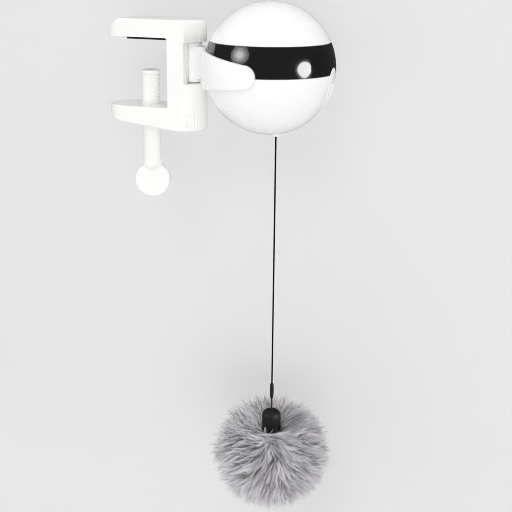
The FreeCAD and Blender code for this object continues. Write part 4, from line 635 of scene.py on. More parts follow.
def ring_points(
    lines: np.ndarray, radius: float | np.ndarray, angle: np.ndarray, aslant: Way
) -> np.ndarray:
    """Carry a ring of points along one line or many, square to the line's direction.

    Args:
        lines: Points of the lines, with points and coordinates as the last two axes.
        radius: Radius of the ring, one for all or one for each point of a line.
        angle: Angles of the ring's points.
        aslant: A direction that no line runs along, from which the angles start.

    Returns:
        The lines' array with the ring's points as one more axis before the coordinates.
    """
    along = unit(np.gradient(lines, axis=-2))
    side = unit(np.cross(along, np.array(aslant)))
    other = np.cross(along, side)
    cos, sin = np.cos(angle)[:, None], np.sin(angle)[:, None]
    ring = side[..., None, :] * cos + other[..., None, :] * sin
    return lines[..., None, :] + ring * np.reshape(radius, (-1, 1, 1))


def tube_block(middle: np.ndarray, radius: float, sides: int) -> Block:
    """Carry a ring along a path and close both ends.

    Args:
        middle: Points of the path.
        radius: Radius of the tube.
        sides: Points of the ring.

    Returns:
        The vertices and the faces.
    """
    angle = np.linspace(0, 2 * math.pi, sides, endpoint=False)
    points = ring_points(middle, radius, angle, (1.0, 0.13, 0.07))
    first, last = (np.broadcast_to(end, points[:1].shape) for end in (middle[0], middle[-1]))
    return grid_block(np.concatenate([first, points, last]), wrap_columns=True)


def corner(
    centre: Sequence[float], radius: float, start: float, end: float, steps: int
) -> np.ndarray:
    """Points of an arc in a profile, angles in degrees from outwards to upwards."""
    angle = np.radians(np.linspace(start, end, steps))
    return np.stack([centre[0] + radius * np.cos(angle), centre[1] + radius * np.sin(angle)], 1)


def make_piece(
    name: str, blocks: Iterable[Block], smooth_angle: float | None = 40.0
) -> bpy.types.Object:
    """Make one object out of several blocks.

    Args:
        name: Name of the object.
        blocks: Vertices and faces of each block.
        smooth_angle: Edges sharper than this many degrees stay sharp, none when nothing.

    Returns:
        The object, linked to the scene.
    """
    vertices, faces, start = [], [], 0
    for points, quads in blocks:
        vertices.append(points)
        faces.append(quads + start)
        start += len(points)
    corners = np.concatenate(faces)
    mesh = bpy.data.meshes.new(name)
    mesh.vertices.add(start)
    mesh.vertices.foreach_set("co", np.concatenate(vertices).astype(np.float32).ravel())
    mesh.loops.add(corners.size)
    mesh.loops.foreach_set("vertex_index", corners.astype(np.int32).ravel())
    mesh.polygons.add(len(corners))
    step = corners.shape[1]
    mesh.polygons.foreach_set("loop_start", np.arange(0, corners.size, step, dtype=np.int32))
    mesh.update(calc_edges=True)
    mesh.shade_smooth()
    if smooth_angle is not None:
        mesh.set_sharp_from_angle(angle=math.radians(smooth_angle))
    obj = bpy.data.objects.new(name, mesh)
    bpy.context.scene.collection.objects.link(obj)
    return obj


def weld(obj: bpy.types.Object, distance: float = 1e-6) -> None:
    """Merge points that lie together, such as those at a pole, and drop empty faces.

    Args:
        obj: The piece.
        distance: How far apart such points may lie, in metres.
    """
    work = bmesh.new()
    work.from_mesh(obj.data)
    bmesh.ops.remove_doubles(work, verts=work.verts, dist=distance)
    bmesh.ops.dissolve_degenerate(work, edges=work.edges, dist=distance)
    bmesh.ops.recalc_face_normals(work, faces=work.faces)
    work.to_mesh(obj.data)
    work.free()


def points_of(mesh: bpy.types.Mesh) -> np.ndarray:
    """Read the places of a mesh's points.

    Args:
        mesh: The mesh.

    Returns:
        The places, one row each.
    """
    places = np.zeros(len(mesh.vertices) * 3, np.float32)
    mesh.vertices.foreach_get("co", places)
    return places.reshape(-1, 3)


def store_fact(obj: bpy.types.Object, name: str, values: np.ndarray) -> None:
    """Keep one number for each point of a piece, for its finish."""
    store = obj.data.attributes.new(name, "FLOAT", "POINT")
    store.data.foreach_set("value", values.astype(np.float32))


def chart_tube(obj: bpy.types.Object, axis: np.ndarray) -> None:
    """Give an upright tube a map: the turn about its axis, then its height, both from zero to one.

    The corners of a face that crosses the seam take the turn that is nearest to its first corner's.

    Args:
        obj: The piece.
        axis: Where its axis stands, as two numbers.
    """
    mesh = obj.data
    places = points_of(mesh).astype(float)
    loops = np.zeros(len(mesh.loops), dtype=np.int64)
    mesh.loops.foreach_get("vertex_index", loops)
    turn = np.arctan2(places[:, 1] - axis[1], places[:, 0] - axis[0]) / (2 * math.pi)
    height = (places[:, 2] - places[:, 2].min()) / np.ptp(places[:, 2])
    uv = np.stack([turn[loops], height[loops]], 1)
    starts = np.zeros(len(mesh.polygons), dtype=np.int64)
    totals = np.zeros(len(mesh.polygons), dtype=np.int64)
    mesh.polygons.foreach_get("loop_start", starts)
    mesh.polygons.foreach_get("loop_total", totals)
    first = np.repeat(uv[starts, 0], totals)
    order = np.concatenate([np.arange(s, s + t) for s, t in zip(starts, totals)])
    uv[order, 0] -= np.round(uv[order, 0] - first)
    layer = mesh.uv_layers.new(name="chart")
    layer.data.foreach_set("uv", uv.astype(np.float32).ravel())


@dataclass(frozen=True)
class Lamp:
    """A soft lamp that faces the ball.

    Attributes:
        name: Name of the lamp.
        way: Direction from the ball as parts right, up and towards the camera.
        size: Height in metres.
        power: In watts.
        glint: Whether it only shows as a highlight on shiny pieces, or only lights matt ones.
    """

    name: str
    way: Way
    size: float
    power: float
    glint: bool = False


LEFT_GLINT = (-0.785, 0.228, 0.576)
RIGHT_GLINT = (0.867, -0.119, 0.484)
LAMPS = (
    Lamp("left_glint_core", LEFT_GLINT, 0.45, 5.0, glint=True),
    Lamp("left_glint_middle", LEFT_GLINT, 0.80, 9.0, glint=True),
    Lamp("left_glint_rim", LEFT_GLINT, 1.15, 8.5, glint=True),
    Lamp("right_glint_core", RIGHT_GLINT, 0.92, 34.0, glint=True),
    Lamp("right_glint_rim", RIGHT_GLINT, 1.20, 4.0, glint=True),
    Lamp("key_lamp", (-0.22, 0.30, 0.93), 1.20, 8.5),
    Lamp("top_lamp", (-0.30, 0.88, 0.36), 1.20, 6.0),
    Lamp("low_fill", (0.10, -0.44, 0.87), 1.60, 14.0),
    Lamp("back_fill", (0.25, 0.35, -0.90), 1.60, 12.0),
)


@dataclass
class Studio:
    """Camera, lamps and sweep, placed by how the photograph was taken."""

    focal_px: float = 1000.0
    sensor_mm: float = 36.0
    distance: float = 0.639
    side_angle: float = 20.0
    down_angle: float = 17.3
    roll_angle: float = 0.6
    aim_px: tuple[float, float] = (270.0, 68.3)
    wall_y: float = 0.07
    wall_top: float = 0.9
    wall_ends: tuple[float, float] = (-1.4, 1.6)
    bend: float = 0.12
    floor_front: float = -1.6
    floor_drop: float = 0.12
    sky: float = 0.80
    dark_sky: float = 0.08
    lamp_distance: float = 2.4
    glint_width: float = 1.28
    filter_px: float = 0.9
    bounces: int = 12

    def axes(self) -> tuple[np.ndarray, np.ndarray, np.ndarray]:
        """Work out the camera's directions from its three angles.

        Returns:
            Right, down and forward.
        """
        side, dip, roll = np.radians([self.side_angle, self.down_angle, self.roll_angle])
        forward = np.array([-np.sin(side) * np.cos(dip), np.cos(side) * np.cos(dip), -np.sin(dip)])
        level = np.array([np.cos(side), np.sin(side), 0.0])
        under = np.cross(forward, level)
        right = level * np.cos(roll) - under * np.sin(roll)
        down = level * np.sin(roll) + under * np.cos(roll)
        return right, down, forward

    def camera(self) -> None:
        """Place the camera so that the ball's centre falls on its pixel."""
        right, down, forward = self.axes()
        half = PHOTO_WIDTH / 2
        ray = forward + (self.aim_px[0] - half) / self.focal_px * right
        ray = ray + (self.aim_px[1] - half) / self.focal_px * down
        place = np.array(BALL_CENTRE) - unit(ray) * self.distance
        data = bpy.data.cameras.new("camera")
        data.sensor_width = self.sensor_mm
        data.sensor_fit = "HORIZONTAL"
        data.lens = self.focal_px / PHOTO_WIDTH * self.sensor_mm
        data.clip_start = 0.01
        data.clip_end = 20.0
        camera = bpy.data.objects.new("camera", data)
        turn = Matrix((right, -down, -forward)).transposed().to_4x4()
        camera.matrix_world = Matrix.Translation(Vector(place)) @ turn
        bpy.context.scene.collection.objects.link(camera)
        bpy.context.scene.camera = camera

    def place_lamp(self, lamp: Lamp) -> None:
        """Add a lamp to the scene, wider than it is high where it is a glint.

        Args:
            lamp: The lamp.
        """
        right, down, forward = self.axes()
        heading = unit(lamp.way[0] * right - lamp.way[1] * down - lamp.way[2] * forward)
        data = bpy.data.lights.new(lamp.name, "AREA")
        data.shape = "ELLIPSE"
        data.size = lamp.size * (self.glint_width if lamp.glint else 1.0)
        data.size_y = lamp.size
        data.energy = lamp.power
        obj = bpy.data.objects.new(lamp.name, data)
        obj.location = np.array(BALL_CENTRE) + heading * self.lamp_distance
        obj.rotation_euler = Vector(heading).to_track_quat("Z", "Y").to_euler()
        obj.visible_camera = False
        obj.visible_diffuse = not lamp.glint
        obj.visible_glossy = lamp.glint
        bpy.context.scene.collection.objects.link(obj)

    def sweep(self) -> None:
        """Pale wall close behind that curves into the floor, as one sheet."""
        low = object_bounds()[0][2] - self.floor_drop
        foot = low + self.bend
        wall = np.array([[self.wall_y, self.wall_top], [self.wall_y, foot]])
        turn = corner((self.wall_y - self.bend, foot), self.bend, 0, -90, 14)
        profile = np.concatenate([wall, turn, [[self.floor_front, low]]])
        parts = np.broadcast_arrays(np.array(self.wall_ends), profile[:, :1], profile[:, 1:])
        sheet = make_piece("sweep", [grid_block(np.stack(parts, axis=2))])
        sheet.data.materials.append(Paper().build("paper"))
        sheet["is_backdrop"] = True

    def world(self) -> None:
        """Even light from all round, and a dim room in what shiny pieces mirror."""
        world = bpy.data.worlds.new("room")
        world.use_nodes = True
        nodes, links = world.node_tree.nodes, world.node_tree.links
        sky = nodes["Background"]
        sky.inputs["Color"].default_value = (1.0, 1.0, 1.0, 1.0)
        path = nodes.new("ShaderNodeLightPath")
        level = nodes.new("ShaderNodeMapRange")
        level.inputs["To Min"].default_value = self.sky
        level.inputs["To Max"].default_value = self.dark_sky
        links.new(path.outputs["Is Glossy Ray"], level.inputs["Value"])
        links.new(level.outputs["Result"], sky.inputs["Strength"])
        bpy.context.scene.world = world

    def build(self) -> None:
        """Set up the whole studio."""
        self.camera()
        for lamp in LAMPS:
            self.place_lamp(lamp)
        self.sweep()
        self.world()
        bpy.context.scene.view_settings.view_transform = "Standard"
        bpy.context.scene.cycles.filter_width = self.filter_px
        bpy.context.scene.cycles.diffuse_bounces = self.bounces


@dataclass
class Clamp:
    """Clamp frame with a lowered nose, and the screw with its thread and thumb disc.

    The foot, the pad and the swivel disc keep their solids.
    """

    materials: Materials
    screw_x: float = -2.5 * MM
    radius: float = 5.95 * MM
    top: float = -22.95 * MM
    top_round: float = 0.5 * MM
    thread_end: float = -60.0 * MM
    straight_end: float = -74.6 * MM
    stem_end: float = -82.0 * MM
    taper_end: float = -87.8 * MM
    flare: float = 6.55 * MM
    pitch: float = 2.0 * MM
    depth: float = 0.38 * MM
    flank: float = 1.8
    lead_in: float = 1.2 * MM
    lead_out: float = 2.0 * MM
    thread_start: float = 0.6
    thread_way: float = -28.0
    thread_edge: float = 6.0
    disc_drop: float = 93.8 * MM
    disc_radius: float = 12.0 * MM
    disc_thick: float = 7.0 * MM
    disc_round: float = 2.2 * MM
    disc_turn: float = 20.0
    dish: float = 0.7 * MM
    nose_start: float = -17.0 * MM
    nose_length: float = 13.5 * MM
    nose_drop: float = 5.5 * MM
    arm_under: float = 1.6 * MM
    arm_top: float = 13.0 * MM
    smooth_angle: float = 32.0
    thread_steps: int = 400
    stem_steps: int = 60
    sides: int = 96

    def shank(self) -> Block:
        """Shank with a thread on two opposite quarters, a flared stem and a taper at its foot.

        Radius is the plain radius, widened by the square of the share of the way down the stem,
        less a groove that repeats each pitch and follows the turn, times a mask that is one on the
        threaded quarters and zero on the smooth ones. The top is bevelled, and the foot closes by a
        quarter of a cosine.

        Returns:
            The vertices and the faces.
        """
        thread = np.linspace(self.top, self.thread_end, self.thread_steps)
        stem = np.linspace(self.thread_end, self.taper_end, self.stem_steps)[1:]
        angle = np.linspace(0, 2 * math.pi, self.sides, endpoint=False)
        z, a = np.meshgrid(np.concatenate([thread, stem]), angle, indexing="ij")
        wave = 0.5 + 0.5 * np.cos(2 * math.pi * z / self.pitch - a)
        groove = np.clip(wave * self.flank - (self.flank - 1) / 2, 0, 1)
        side = np.cos(2 * (a - math.radians(self.thread_way)))
        mask = np.clip(side * self.thread_edge + 0.5, 0, 1)
        mask = mask * np.clip((self.top - z) / self.lead_in - self.thread_start, 0, 1)
        mask = mask * np.clip((z - self.thread_end) / self.lead_out, 0, 1)
        widen = np.clip((self.straight_end - z) / (self.straight_end - self.stem_end), 0, 1)
        radius = self.radius + (self.flare - self.radius) * widen**2 - self.depth * groove * mask
        bevel = np.clip(1 - (self.top - z) / self.top_round, 0, 1)
        closing = np.clip((self.stem_end - z) / (self.stem_end - self.taper_end), 0, 1)
        narrow = (self.flare - self.disc_thick / 2) * (1 - np.cos(closing * math.pi / 2))
        radius = radius - self.top_round * bevel - narrow
        points = np.stack([self.screw_x + radius * np.cos(a), radius * np.sin(a), z], axis=2)
        lid, foot = (
            np.broadcast_to((self.screw_x, 0, height), points[:1].shape)
            for height in (self.top, self.taper_end)
        )
        return grid_block(np.concatenate([lid, points, foot])[::-1], wrap_columns=True)

    def thumb_disc(self) -> Block:
        """Round disc with rolled edges and shallow hollows for thumb and finger.

        The profile runs from one hollow's middle over the rim to the other's, and is turned about
        the disc's own axis.

        Returns:
            The vertices and the faces.
        """
        half, edge = self.disc_thick / 2, self.disc_round
        flat = self.disc_radius - edge
        share = np.linspace(0, 1, 14)[:-1]
        hollow = half - self.dish * (0.5 + 0.5 * np.cos(math.pi * share))
        face = np.stack([share * flat, hollow], 1)
        upper = np.concatenate([face, corner((flat, half - edge), edge, 90, 0, 8)])
        lower = upper[::-1] * np.array([1, -1])
        points, quads = lathe_block(np.concatenate([upper, lower])[::-1], 72, (0, 0, 0))
        turn = math.radians(self.disc_turn)
        along = np.array([-math.sin(turn), math.cos(turn), 0])
        across = np.array([math.cos(turn), math.sin(turn), 0])
        upright = np.array([0, 0, 1.0])
        spun = points[:, :1] * across + points[:, 1:2] * upright + points[:, 2:] * along
        return spun + np.array([self.screw_x, 0, -self.disc_drop]), quads

    def frame_copy(self) -> bpy.types.Object:
        """Copy the frame's solid and lower its upper nose.

        A point of the upper arm comes down by the square of how far it is past the start of the
        nose, as a share of the nose's length, times its height in the arm.

        Returns:
            The copy.
        """
        mesh = frame["nodes"]["clamp_frame"].data.copy()
        piece = bpy.data.objects.new("moulded_frame", mesh)
        bpy.context.scene.collection.objects.link(piece)
        weld(piece)
        places = points_of(mesh)
        past = np.clip((self.nose_start - places[:, 0]) / self.nose_length, 0, 1)
        upper = np.clip((places[:, 2] - self.arm_under) / (self.arm_top - self.arm_under), 0, 1)
        places[:, 2] -= self.nose_drop * past**2 * upper
        mesh.vertices.foreach_set("co", places.ravel())
        mesh.shade_smooth()
        mesh.set_sharp_from_angle(angle=math.radians(self.smooth_angle))
        mesh.update()
        return piece

    def build(self) -> None:
        """Build the frame's visible copy and the screw."""
        body = self.frame_copy()
        self.materials.settle(body, Finish.white_satin, Body.CLAMP, "clamp_frame")
        screw = make_piece("threaded_screw", [self.shank(), self.thumb_disc()])
        weld(screw)
        self.materials.settle(screw, Finish.white_satin, Body.SCREW, "clamp_screw")


@dataclass
class HangingLine:
    """Thin braided line that hangs straight from the ball's guide to the lure's sleeve."""

    materials: Materials
    radius: float = 0.55 * MM
    lift: float = 160.0 * MM
    sides: int = 12
    route: tuple[Way, ...] = (
        (0.0865, -0.004, -0.05697),
        (0.0865, -0.004, -0.14272),
        (0.0865, -0.004, -0.22847),
    )

    def centre_line(self) -> np.ndarray:
        """Draw a smooth spline through the route.

        Returns:
            Its points, one row each.
        """
        curve = bpy.data.curves.new("line_route", "CURVE")
        curve.dimensions = "3D"
        spline = curve.splines.new("NURBS")
        spline.points.add(len(self.route) - 1)
        for point, place in zip(spline.points, self.route):
            point.co = (*place, 1.0)
        spline.order_u = 3
        spline.use_endpoint_u = True
        curve.resolution_u = 16
        guide = bpy.data.objects.new("line_route", curve)
        mesh = bpy.data.meshes.new_from_object(guide)
        points = np.array([vertex.co for vertex in mesh.vertices])
        bpy.data.meshes.remove(mesh)
        bpy.data.objects.remove(guide)
        bpy.data.curves.remove(curve)
        return points

    def build(self) -> None:
        path = self.centre_line()
        line = make_piece("braided_line", [tube_block(path, self.radius, self.sides)])
        weld(line)
        chart_tube(line, path[:, :2].mean(axis=0))
        self.materials.settle(line, Finish.line_black, Body.LINE, "pull_line")
        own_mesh(line)
        2 * self.radius


def hang_axis() -> np.ndarray:
    """Where the lure hangs, as two numbers."""
    low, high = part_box("lure_cap")
    return (np.array(low[:2]) + np.array(high[:2])) / 2


@dataclass
class Pelt:
    """Long hairs of the lure's ball, in strands, over an undercoat in painted shade.

    Lengths without MM are shares of the ball's radius, or millimetres in the fringe. Leans, spreads
    and bends are lengths across a direction of length one.
    """

    materials: Materials
    radius: float = 40.5 * MM
    dense_radius: float = 36.5 * MM
    cap_radius: float = 6.5 * MM
    parting: Way = (0.26, -0.72, 0.64)
    crown: Way = (-0.4, 0.7, 0.6)
    parting_reach: float = 0.75
    parting_width: float = 0.12
    strands: int = 5200
    hairs: int = 5
    steps: int = 10
    pieces: int = 7
    seed: int = 7
    root: float = 0.30
    scatter: float = 0.06
    own_lean: float = 0.10
    combed_lean: float = 0.28
    comb_waves: float = 4.5
    fall: float = 0.12
    strand_spread: float = 0.018
    gathered: float = 0.75
    strand_bend: float = 0.045
    hair_bend: float = 0.008
    strand_waves: tuple[float, float] = (0.7, 1.3)
    hair_waves: tuple[float, float] = (1.5, 3.0)
    strand_lengths: tuple[float, float] = (0.86, 0.98)
    hair_limits: tuple[float, float] = (0.6, 1.02)
    length_spread: float = 0.04
    # Painted light: hairs away from the parting, towards the ball's rim, and hairs at the bottom are
    # made paler.
    paler_away: float = 0.35
    paler_below: float = 0.25
    tone_shares: Way = (0.25, 0.04, 0.71)
    tone_spread: float = 0.08
    hair_width: float = 0.26 * MM
    narrowing: float = 0.85
    front_rise: float = 0.45
    back_rise: float = 1.3
    laid_under: float = 2.4 * MM
    laid_over: float = 0.1 * MM
    cap_clearance: float = 0.4 * MM
    fringe_tufts: int = 46
    fringe_hairs: int = 5
    fringe_depth: float = 3.0
    fringe_starts: tuple[float, float] = (0.6, 1.0)
    fringe_reaches: tuple[float, float] = (0.3, 2.5)
    fringe_rises: tuple[float, float] = (0.5, 6.0)
    undercoat_radius: float = 0.68
    undercoat_drop: float = 0.74
    undercoat_lumps: tuple[float, float] = (0.05, 0.04)

    def centre(self) -> np.ndarray:
        """Centre of the ball."""
        return np.array([*hang_axis(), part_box("fur_ball")[0].z + self.dense_radius])

    def headings(self, rng: np.random.Generator) -> tuple[np.ndarray, np.ndarray]:
        """Directions of the strands' tips, spread evenly over the ball, and how each one leans.

        A strand leans away from a parting at the foot of the cap, and half as much from a crown on
        the back, and a little downwards everywhere. Slow waves over the ball comb neighbours alike.

        Args:
            rng: Source of the random numbers.

        Returns:
            The directions and the leans, one row for each strand.
        """
        count = np.arange(self.strands) + 0.5
        lift = 1 - 2 * count / self.strands
        turn = math.pi * (1 + math.sqrt(5)) * count
        flat = np.sqrt(1 - lift**2)
        heading = np.stack([flat * np.cos(turn), flat * np.sin(turn), lift], 1)
        heading = unit(heading + rng.normal(0, self.scatter, heading.shape))
        lean = rng.normal(0, self.own_lean, heading.shape)
        comb = heading @ rng.normal(0, self.comb_waves, (3, 3)) + rng.uniform(0, 6, 3)
        lean += self.combed_lean * np.sin(comb)
        for way, strength in ((self.parting, 1.0), (self.crown, 0.5)):
            near = heading @ unit(way)
            away = heading - near[:, None] * unit(way)
            away /= np.linalg.norm(away, axis=1)[:, None] + self.parting_width
            fade = strength * np.exp(-((1 - near) / self.parting_reach))
            lean += away * fade[:, None]
        lean[:, 2] -= self.fall
        lean -= (lean * heading).sum(1)[:, None] * heading
        return heading, lean

    def waves(
        self, rng: np.random.Generator, counts: tuple[float, float], shape: tuple, share: Any
    ) -> np.ndarray:
        """Sines of the share from root to tip, each with its own count of waves and start."""
        count = rng.uniform(*counts, shape)
        return np.sin(2 * math.pi * count * share + rng.uniform(0, 6.3, shape))

    def hair_lines(self, rng: np.random.Generator) -> tuple[np.ndarray, dict[str, np.ndarray]]:
        """Middle line of each hair, and its tone, tint and place along it.

        A hair's direction is its strand's, spread at the root and gathered towards the tip, less
        the strand's lean at the root that fades out towards the tip, plus a wave that the strand's
        hairs share and a smaller one of its own. Its distance from the centre grows evenly. Hairs
        are a little shorter at the bottom and the top. As painted light, they are paler at the
        bottom and away from the parting, towards the ball's rim.

        Args:
            rng: Source of the random numbers.

        Returns:
            The lines, as hairs by points by coordinates, and the facts by name.
        """
        heading, lean = self.headings(rng)
        group, single = (self.strands, 1, 1, 1), (self.strands, self.hairs, 1, 1)
        each = (self.strands, self.hairs, 1, 3)
        share = np.linspace(0, 1, self.steps + 1).reshape(1, 1, -1, 1)
        spread = rng.normal(0, self.strand_spread, each) * (1 - self.gathered * share**1.2)
        bend = rng.normal(0, self.strand_bend, (self.strands, 1, 1, 3))
        wave = bend * self.waves(rng, self.strand_waves, group, share)
        own = rng.normal(0, self.hair_bend, each)
        wave = wave + own * self.waves(rng, self.hair_waves, single, share)
        lean = lean[:, None, None] * (1 - share**1.4)
        way = unit(heading[:, None, None] + spread - lean + wave * share**0.5)
        long = rng.uniform(*self.strand_lengths, group)
        long = np.clip(long * rng.normal(1.0, self.length_spread, single), *self.hair_limits)
        rise = heading[:, 2].reshape(group)
        below, above = np.maximum(-rise, 0), np.maximum(rise, 0)
        long = long * (1.05 - 0.10 * below**2 - 0.05 * above**2)
        reach = self.radius * (self.root + (long - self.root) * share)
        lines = (self.centre() + way * reach).reshape(-1, self.steps + 1, 3)
        # Painted light: paler tone towards the rim and the bottom of the ball.
        painted_rim_light = np.clip(1 - heading @ unit(self.parting), 0, 0.8).reshape(group) * self.paler_away
        tone = rng.choice([0.0, 0.5, 1.0], group, p=self.tone_shares)
        tone = tone + rng.normal(0, self.tone_spread, single) + (painted_rim_light + self.paler_below * below)
        tint = rng.uniform(0, 1, group) ** 2
        whole = (self.strands, self.hairs, self.steps + 1, 1)
        facts = {
            key: np.broadcast_to(values, whole).reshape(len(lines), -1)
            for key, values in (("tone", np.clip(tone, 0, 1)), ("warmth", tint), ("along", share))
        }
        return self.under_hollow(lines, rng), facts

    def under_hollow(self, lines: np.ndarray, rng: np.random.Generator) -> np.ndarray:
        """Lay the hairs that would stand in the hollow round the cap along the hollow's side.

        The side rises from the cap's foot by a share of the way outwards, small on the parting's
        side and steep on the other. A point above it comes down to it, less a little of its own,
        and no point stays within the cap's width.

        Args:
            lines: Middle lines of the hairs, which are changed.
            rng: Source of the random numbers.

        Returns:
            The same lines.
        """
        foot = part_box("lure_cap")[0].z
        side = lines[..., :2] - hang_axis()
        away = np.linalg.norm(side, axis=-1) + 1e-9
        over = np.maximum(away - self.cap_radius, 0)
        loose = rng.uniform(-self.laid_under, self.laid_over, (len(lines), 1))
        front = side @ unit(self.parting[:2]) / away
        behind = np.clip(0.6 - front * 1.1, 0, 1)
        rise = self.front_rise + (self.back_rise - self.front_rise) * behind
        lines[..., 2] = np.minimum(lines[..., 2], foot + loose + over * rise)
        beside = lines[..., 2] > foot - 0.5 * MM
        keep = np.where(beside, np.maximum(away, self.cap_radius + self.cap_clearance), away)
        lines[..., :2] = hang_axis() + side * (keep / away)[..., None]
        return lines

    def fringe(self, rng: np.random.Generator) -> tuple[np.ndarray, dict[str, np.ndarray]]:
        """Middle lines and facts of the short tufts that curl up over the cap's foot.

        Each one starts below the foot, just outside the cap, and goes round the axis and up while
        it moves outwards by the square of its share. Its hairs lie close to each other.

        Args:
            rng: Source of the random numbers.

        Returns:
            The lines, as hairs by points by coordinates, and the facts by name.
        """
        share = np.linspace(0, 1, self.steps + 1)[None]

        def tufts(low: float, high: float, apart: float) -> np.ndarray:
            """One random number for each tuft, and a little of its own for each of its hairs."""
            common = np.repeat(rng.uniform(low, high, (self.fringe_tufts, 1)), self.fringe_hairs, 0)
            return common + rng.normal(0, apart, common.shape)

        turn = tufts(0, 2 * math.pi, 0.035) + tufts(-0.8, 0.8, 0.05) * share
        start, reach = tufts(*self.fringe_starts, 0.1), tufts(*self.fringe_reaches, 0.1)
        away = self.cap_radius + (start + reach * share**2) * MM
        climb = (self.fringe_depth + tufts(*self.fringe_rises, 0.3)) * share - self.fringe_depth
        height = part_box("lure_cap")[0].z + climb * MM
        x, y = hang_axis()
        lines = np.stack([x + away * np.cos(turn), y + away * np.sin(turn), height], 2)
        tone = np.round(tufts(0, 1, 0.0)) * 0.8
        facts = {
            key: np.broadcast_to(values, lines.shape[:2])
            for key, values in (("tone", tone), ("warmth", 0.0), ("along", 0.55 + 0.45 * share))
        }
        return lines, facts

    def hair_piece(
        self, name: str, lines: np.ndarray, facts: dict[str, np.ndarray]
    ) -> bpy.types.Object:
        """Make one piece out of many hairs.

        Three points are carried along each line at thirds of a turn about its direction and joined
        by two strips, a folded ribbon that narrows from root to tip.

        Args:
            name: Name of the piece.
            lines: Middle lines, as hairs by points by coordinates.
            facts: Numbers to store on the points, per hair and point.

        Returns:
            The piece.
        """
        hairs, count = lines.shape[:2]
        width = self.hair_width * (1 - self.narrowing * np.linspace(0, 1, count) ** 1.6)
        third = 2 * math.pi / 3 * np.arange(3)
        points = ring_points(lines, width, third, (0.31, 0.52, 0.79))
        index = np.arange(hairs * count * 3).reshape(hairs, count, 3)
        a, b = index[:, :-1], index[:, 1:]
        faces = np.stack([a[..., :2], a[..., 1:], b[..., 1:], b[..., :2]], axis=3)
        piece = make_piece(name, [(points.reshape(-1, 3), faces.reshape(-1, 4))], None)
        for key, values in facts.items():
            store_fact(piece, key, np.repeat(values.ravel(), 3))
        return piece

    def undercoat(self) -> None:
        """Dense undercoat in painted shade: a ball with soft lumps on its radius and the hollow cut
        in.

        Radius is its plain radius times one plus a sum of slow waves over both angles, and no more
        than reaches a cone under the cap.
        """
        lift = np.linspace(0, math.pi, 48)[:, None]
        turn = np.linspace(0, 2 * math.pi, 96, endpoint=False)[None]
        round_about, up_and_down = self.undercoat_lumps
        lumps = round_about * np.sin(5 * turn + 3 * lift) * np.sin(lift)
        lumps = lumps + up_and_down * np.sin(9 * lift + 4 * np.sin(turn))
        radius = self.undercoat_radius * self.radius * (1 + lumps)
        roof = (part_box("lure_cap")[0].z - self.centre()[2]) * self.undercoat_drop
        climb = np.cos(lift) - self.front_rise * 0.8 * np.sin(lift)
        radius = np.where(climb > 0, np.minimum(radius, roof / np.maximum(climb, 1e-3)), radius)
        flat = np.sin(lift)
        way = np.broadcast_arrays(flat * np.cos(turn), flat * np.sin(turn), np.cos(lift))
        points = self.centre() + np.stack(way, axis=2) * radius[..., None]
        piece = make_piece("undercoat", [grid_block(points, wrap_columns=True)], None)
        weld(piece)
        # Painted shade: the whole undercoat takes the dark root colour.
        for key, level in (("tone", 0.1), ("warmth", 0.2), ("along", 0.25)):
            store_fact(piece, key, np.full(len(piece.data.vertices), level))
        self.materials.settle(piece, Finish.fur_grey, Body.LURE, "fur_ball")

    def build(self) -> None:
        """Build the undercoat, then the hairs in several pieces that each hold a random share."""
        self.undercoat()
        rng = np.random.default_rng(self.seed)
        lines, facts = self.hair_lines(rng)
        over, more = self.fringe(rng)
        lines = np.concatenate([lines, over])
        facts = {key: np.concatenate([values, more[key]]) for key, values in facts.items()}
        order = rng.permutation(len(lines))
        for number, chosen in enumerate(np.array_split(order, self.pieces), start=1):
            own = {key: values[chosen] for key, values in facts.items()}
            piece = self.hair_piece(f"fur_hairs_{number}", lines[chosen], own)
            self.materials.settle(piece, Finish.fur_grey, Body.LURE, "fur_ball")


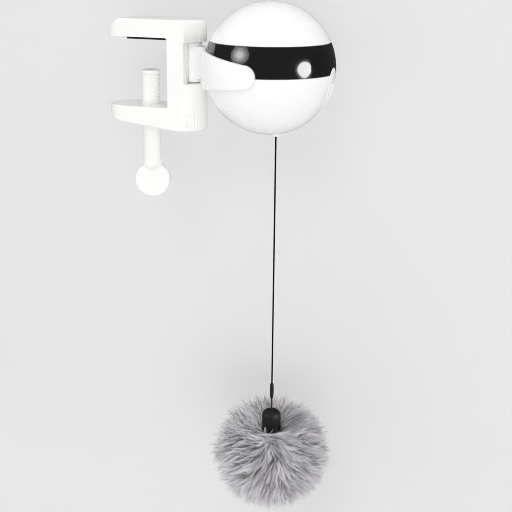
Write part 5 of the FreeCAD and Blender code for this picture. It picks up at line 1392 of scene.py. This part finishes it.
@dataclass
class Lure:
    """Sleeve, twisted loop, domed cap and long-haired ball at the foot of the line."""

    materials: Materials
    cap_radius: float = 6.5 * MM
    cap_brim: float = 0.70
    cap_folds: int = 7
    cap_fold_depth: float = 0.07
    cap_draw_in: float = 0.07
    cap_waver: float = 0.025
    loop_turns: float = 2.6
    loop_wire: float = 0.30 * MM
    loop_reach: float = 0.27 * MM
    sleeve_end: float = 0.62
    sleeve_round: float = 0.1

    def sleeve(self) -> None:
        """Shrunk sleeve: a swollen tube, pinched at its foot and rounded at both ends.

        Radius is the node's radius times a swell that falls off towards both ends.
        """
        low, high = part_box("line_sleeve")
        share = np.linspace(0, 1, 40)
        arch = np.sin(math.pi * np.clip(share * 0.92 + 0.08, 0, 1)) ** 0.6
        swell = self.sleeve_end + (1 - self.sleeve_end) * arch
        from_middle = np.abs(share - 0.5) * 2
        near_end = np.clip((from_middle - (1 - self.sleeve_round)) / self.sleeve_round, 0, 1)
        round_off = np.sqrt(np.clip(1 - near_end**2, 0, 1))
        radius = (high.x - low.x) / 2 * swell * round_off
        profile = np.stack([radius, high.z + (low.z - high.z) * share], 1)
        piece = make_piece("shrunk_sleeve", [lathe_block(profile[::-1], 32, (*hang_axis(), 0))])
        weld(piece)
        chart_tube(piece, hang_axis())
        self.materials.settle(piece, Finish.cap_black, Body.LURE, "line_sleeve", slot="line_black")

    def loop(self) -> None:
        """Two thin wires twisted about each other.

        Each wire's middle line is a helix about the axis, the two half a turn apart, and a ring of
        points is carried along it.
        """
        low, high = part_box("lure_loop")
        share = np.linspace(0, 1, 90)
        x, y = hang_axis()
        blocks = []
        for start in (0.0, math.pi):
            angle = 2 * math.pi * self.loop_turns * share + start
            round_x, round_y = self.loop_reach * np.cos(angle), self.loop_reach * np.sin(angle)
            height = high.z + (low.z - high.z) * share
            middle = np.stack([x + round_x, y + round_y, height], 1)
            blocks.append(tube_block(middle, self.loop_wire, 10))
        piece = make_piece("twisted_loop", blocks)
        weld(piece)
        chart_tube(piece, hang_axis())
        self.materials.settle(piece, Finish.loop_wire, Body.LURE, "lure_loop")

    def cap(self) -> None:
        """Domed cap with a crimped skirt.

        The profile is a dome over a straight skirt that draws in slightly at its foot, and the
        skirt's radius carries shallow folds round the axis. Slow waves that wander with the height
        keep the cap from being quite round.
        """
        low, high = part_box("lure_cap")
        tall = high.z - low.z
        quarter = np.linspace(0, 1, 18) * math.pi / 2
        crown = 1 - (1 - self.cap_brim) * (1 - np.cos(quarter))
        dome = np.stack([np.sin(quarter) ** 0.8, crown], 1)
        down = np.linspace(self.cap_brim, 0.0, 26)[1:]
        skirt = np.stack([1 - self.cap_draw_in * (1 - down / self.cap_brim) ** 2, down], 1)
        foot = np.array([[0.86, 0.0], [0.0, 0.0]])
        profile = np.concatenate([dome, skirt, foot]) * np.array([self.cap_radius, tall])
        profile[:, 1] += low.z
        points, quads = lathe_block(profile[::-1], 96, (*hang_axis(), 0))
        side = points[:, :2] - hang_axis()
        angle = np.arctan2(side[:, 1], side[:, 0])
        depth = (high.z - points[:, 2]) / tall
        lower = np.clip(depth - 0.2, 0, 0.8) / 0.8
        crimp = 0.5 + 0.5 * np.cos(angle * self.cap_folds + 2 * np.sin(angle * 2))
        fold = 1 - self.cap_fold_depth * lower * crimp
        waver = np.sin(angle * 3 + 5 * depth) * np.sin(angle * 5 - 9 * depth)
        fold = fold + self.cap_waver * waver
        points[:, :2] = hang_axis() + side * fold[:, None]
        piece = make_piece("domed_cap", [(points, quads)])
        weld(piece)
        self.materials.settle(piece, Finish.cap_black, Body.LURE, "lure_cap")

    def build(self) -> None:
        """Build every piece of the lure from the top down."""
        self.sleeve()
        self.loop()
        self.cap()
        Pelt(self.materials, cap_radius=self.cap_radius).build()


@dataclass
class Solids:
    """Finishes of the nodes that keep their solids."""

    materials: Materials

    def build(self) -> None:
        """Give each node the finish of its slot, or a plain black where that needs a map."""
        slots = {part["node"]: part["material_slot"] for part in frame["record"]["subparts"]}
        for name, obj in frame["nodes"].items():
            finish = Finish[slots[name]]
            if isinstance(finish.value, (Braid, Pile)):
                finish = Finish.chip_black
            self.materials.dress(obj, finish)


def main() -> None:
    """Build the studio and every piece in order."""
    logging.basicConfig(level=logging.INFO, format="%(name)s: %(message)s")
    materials = Materials()
    Studio().build()
    for assembly in (Solids, Lure, HangingLine, Clamp):
        assembly(materials).build()


if __name__ == "__main__":
    main()
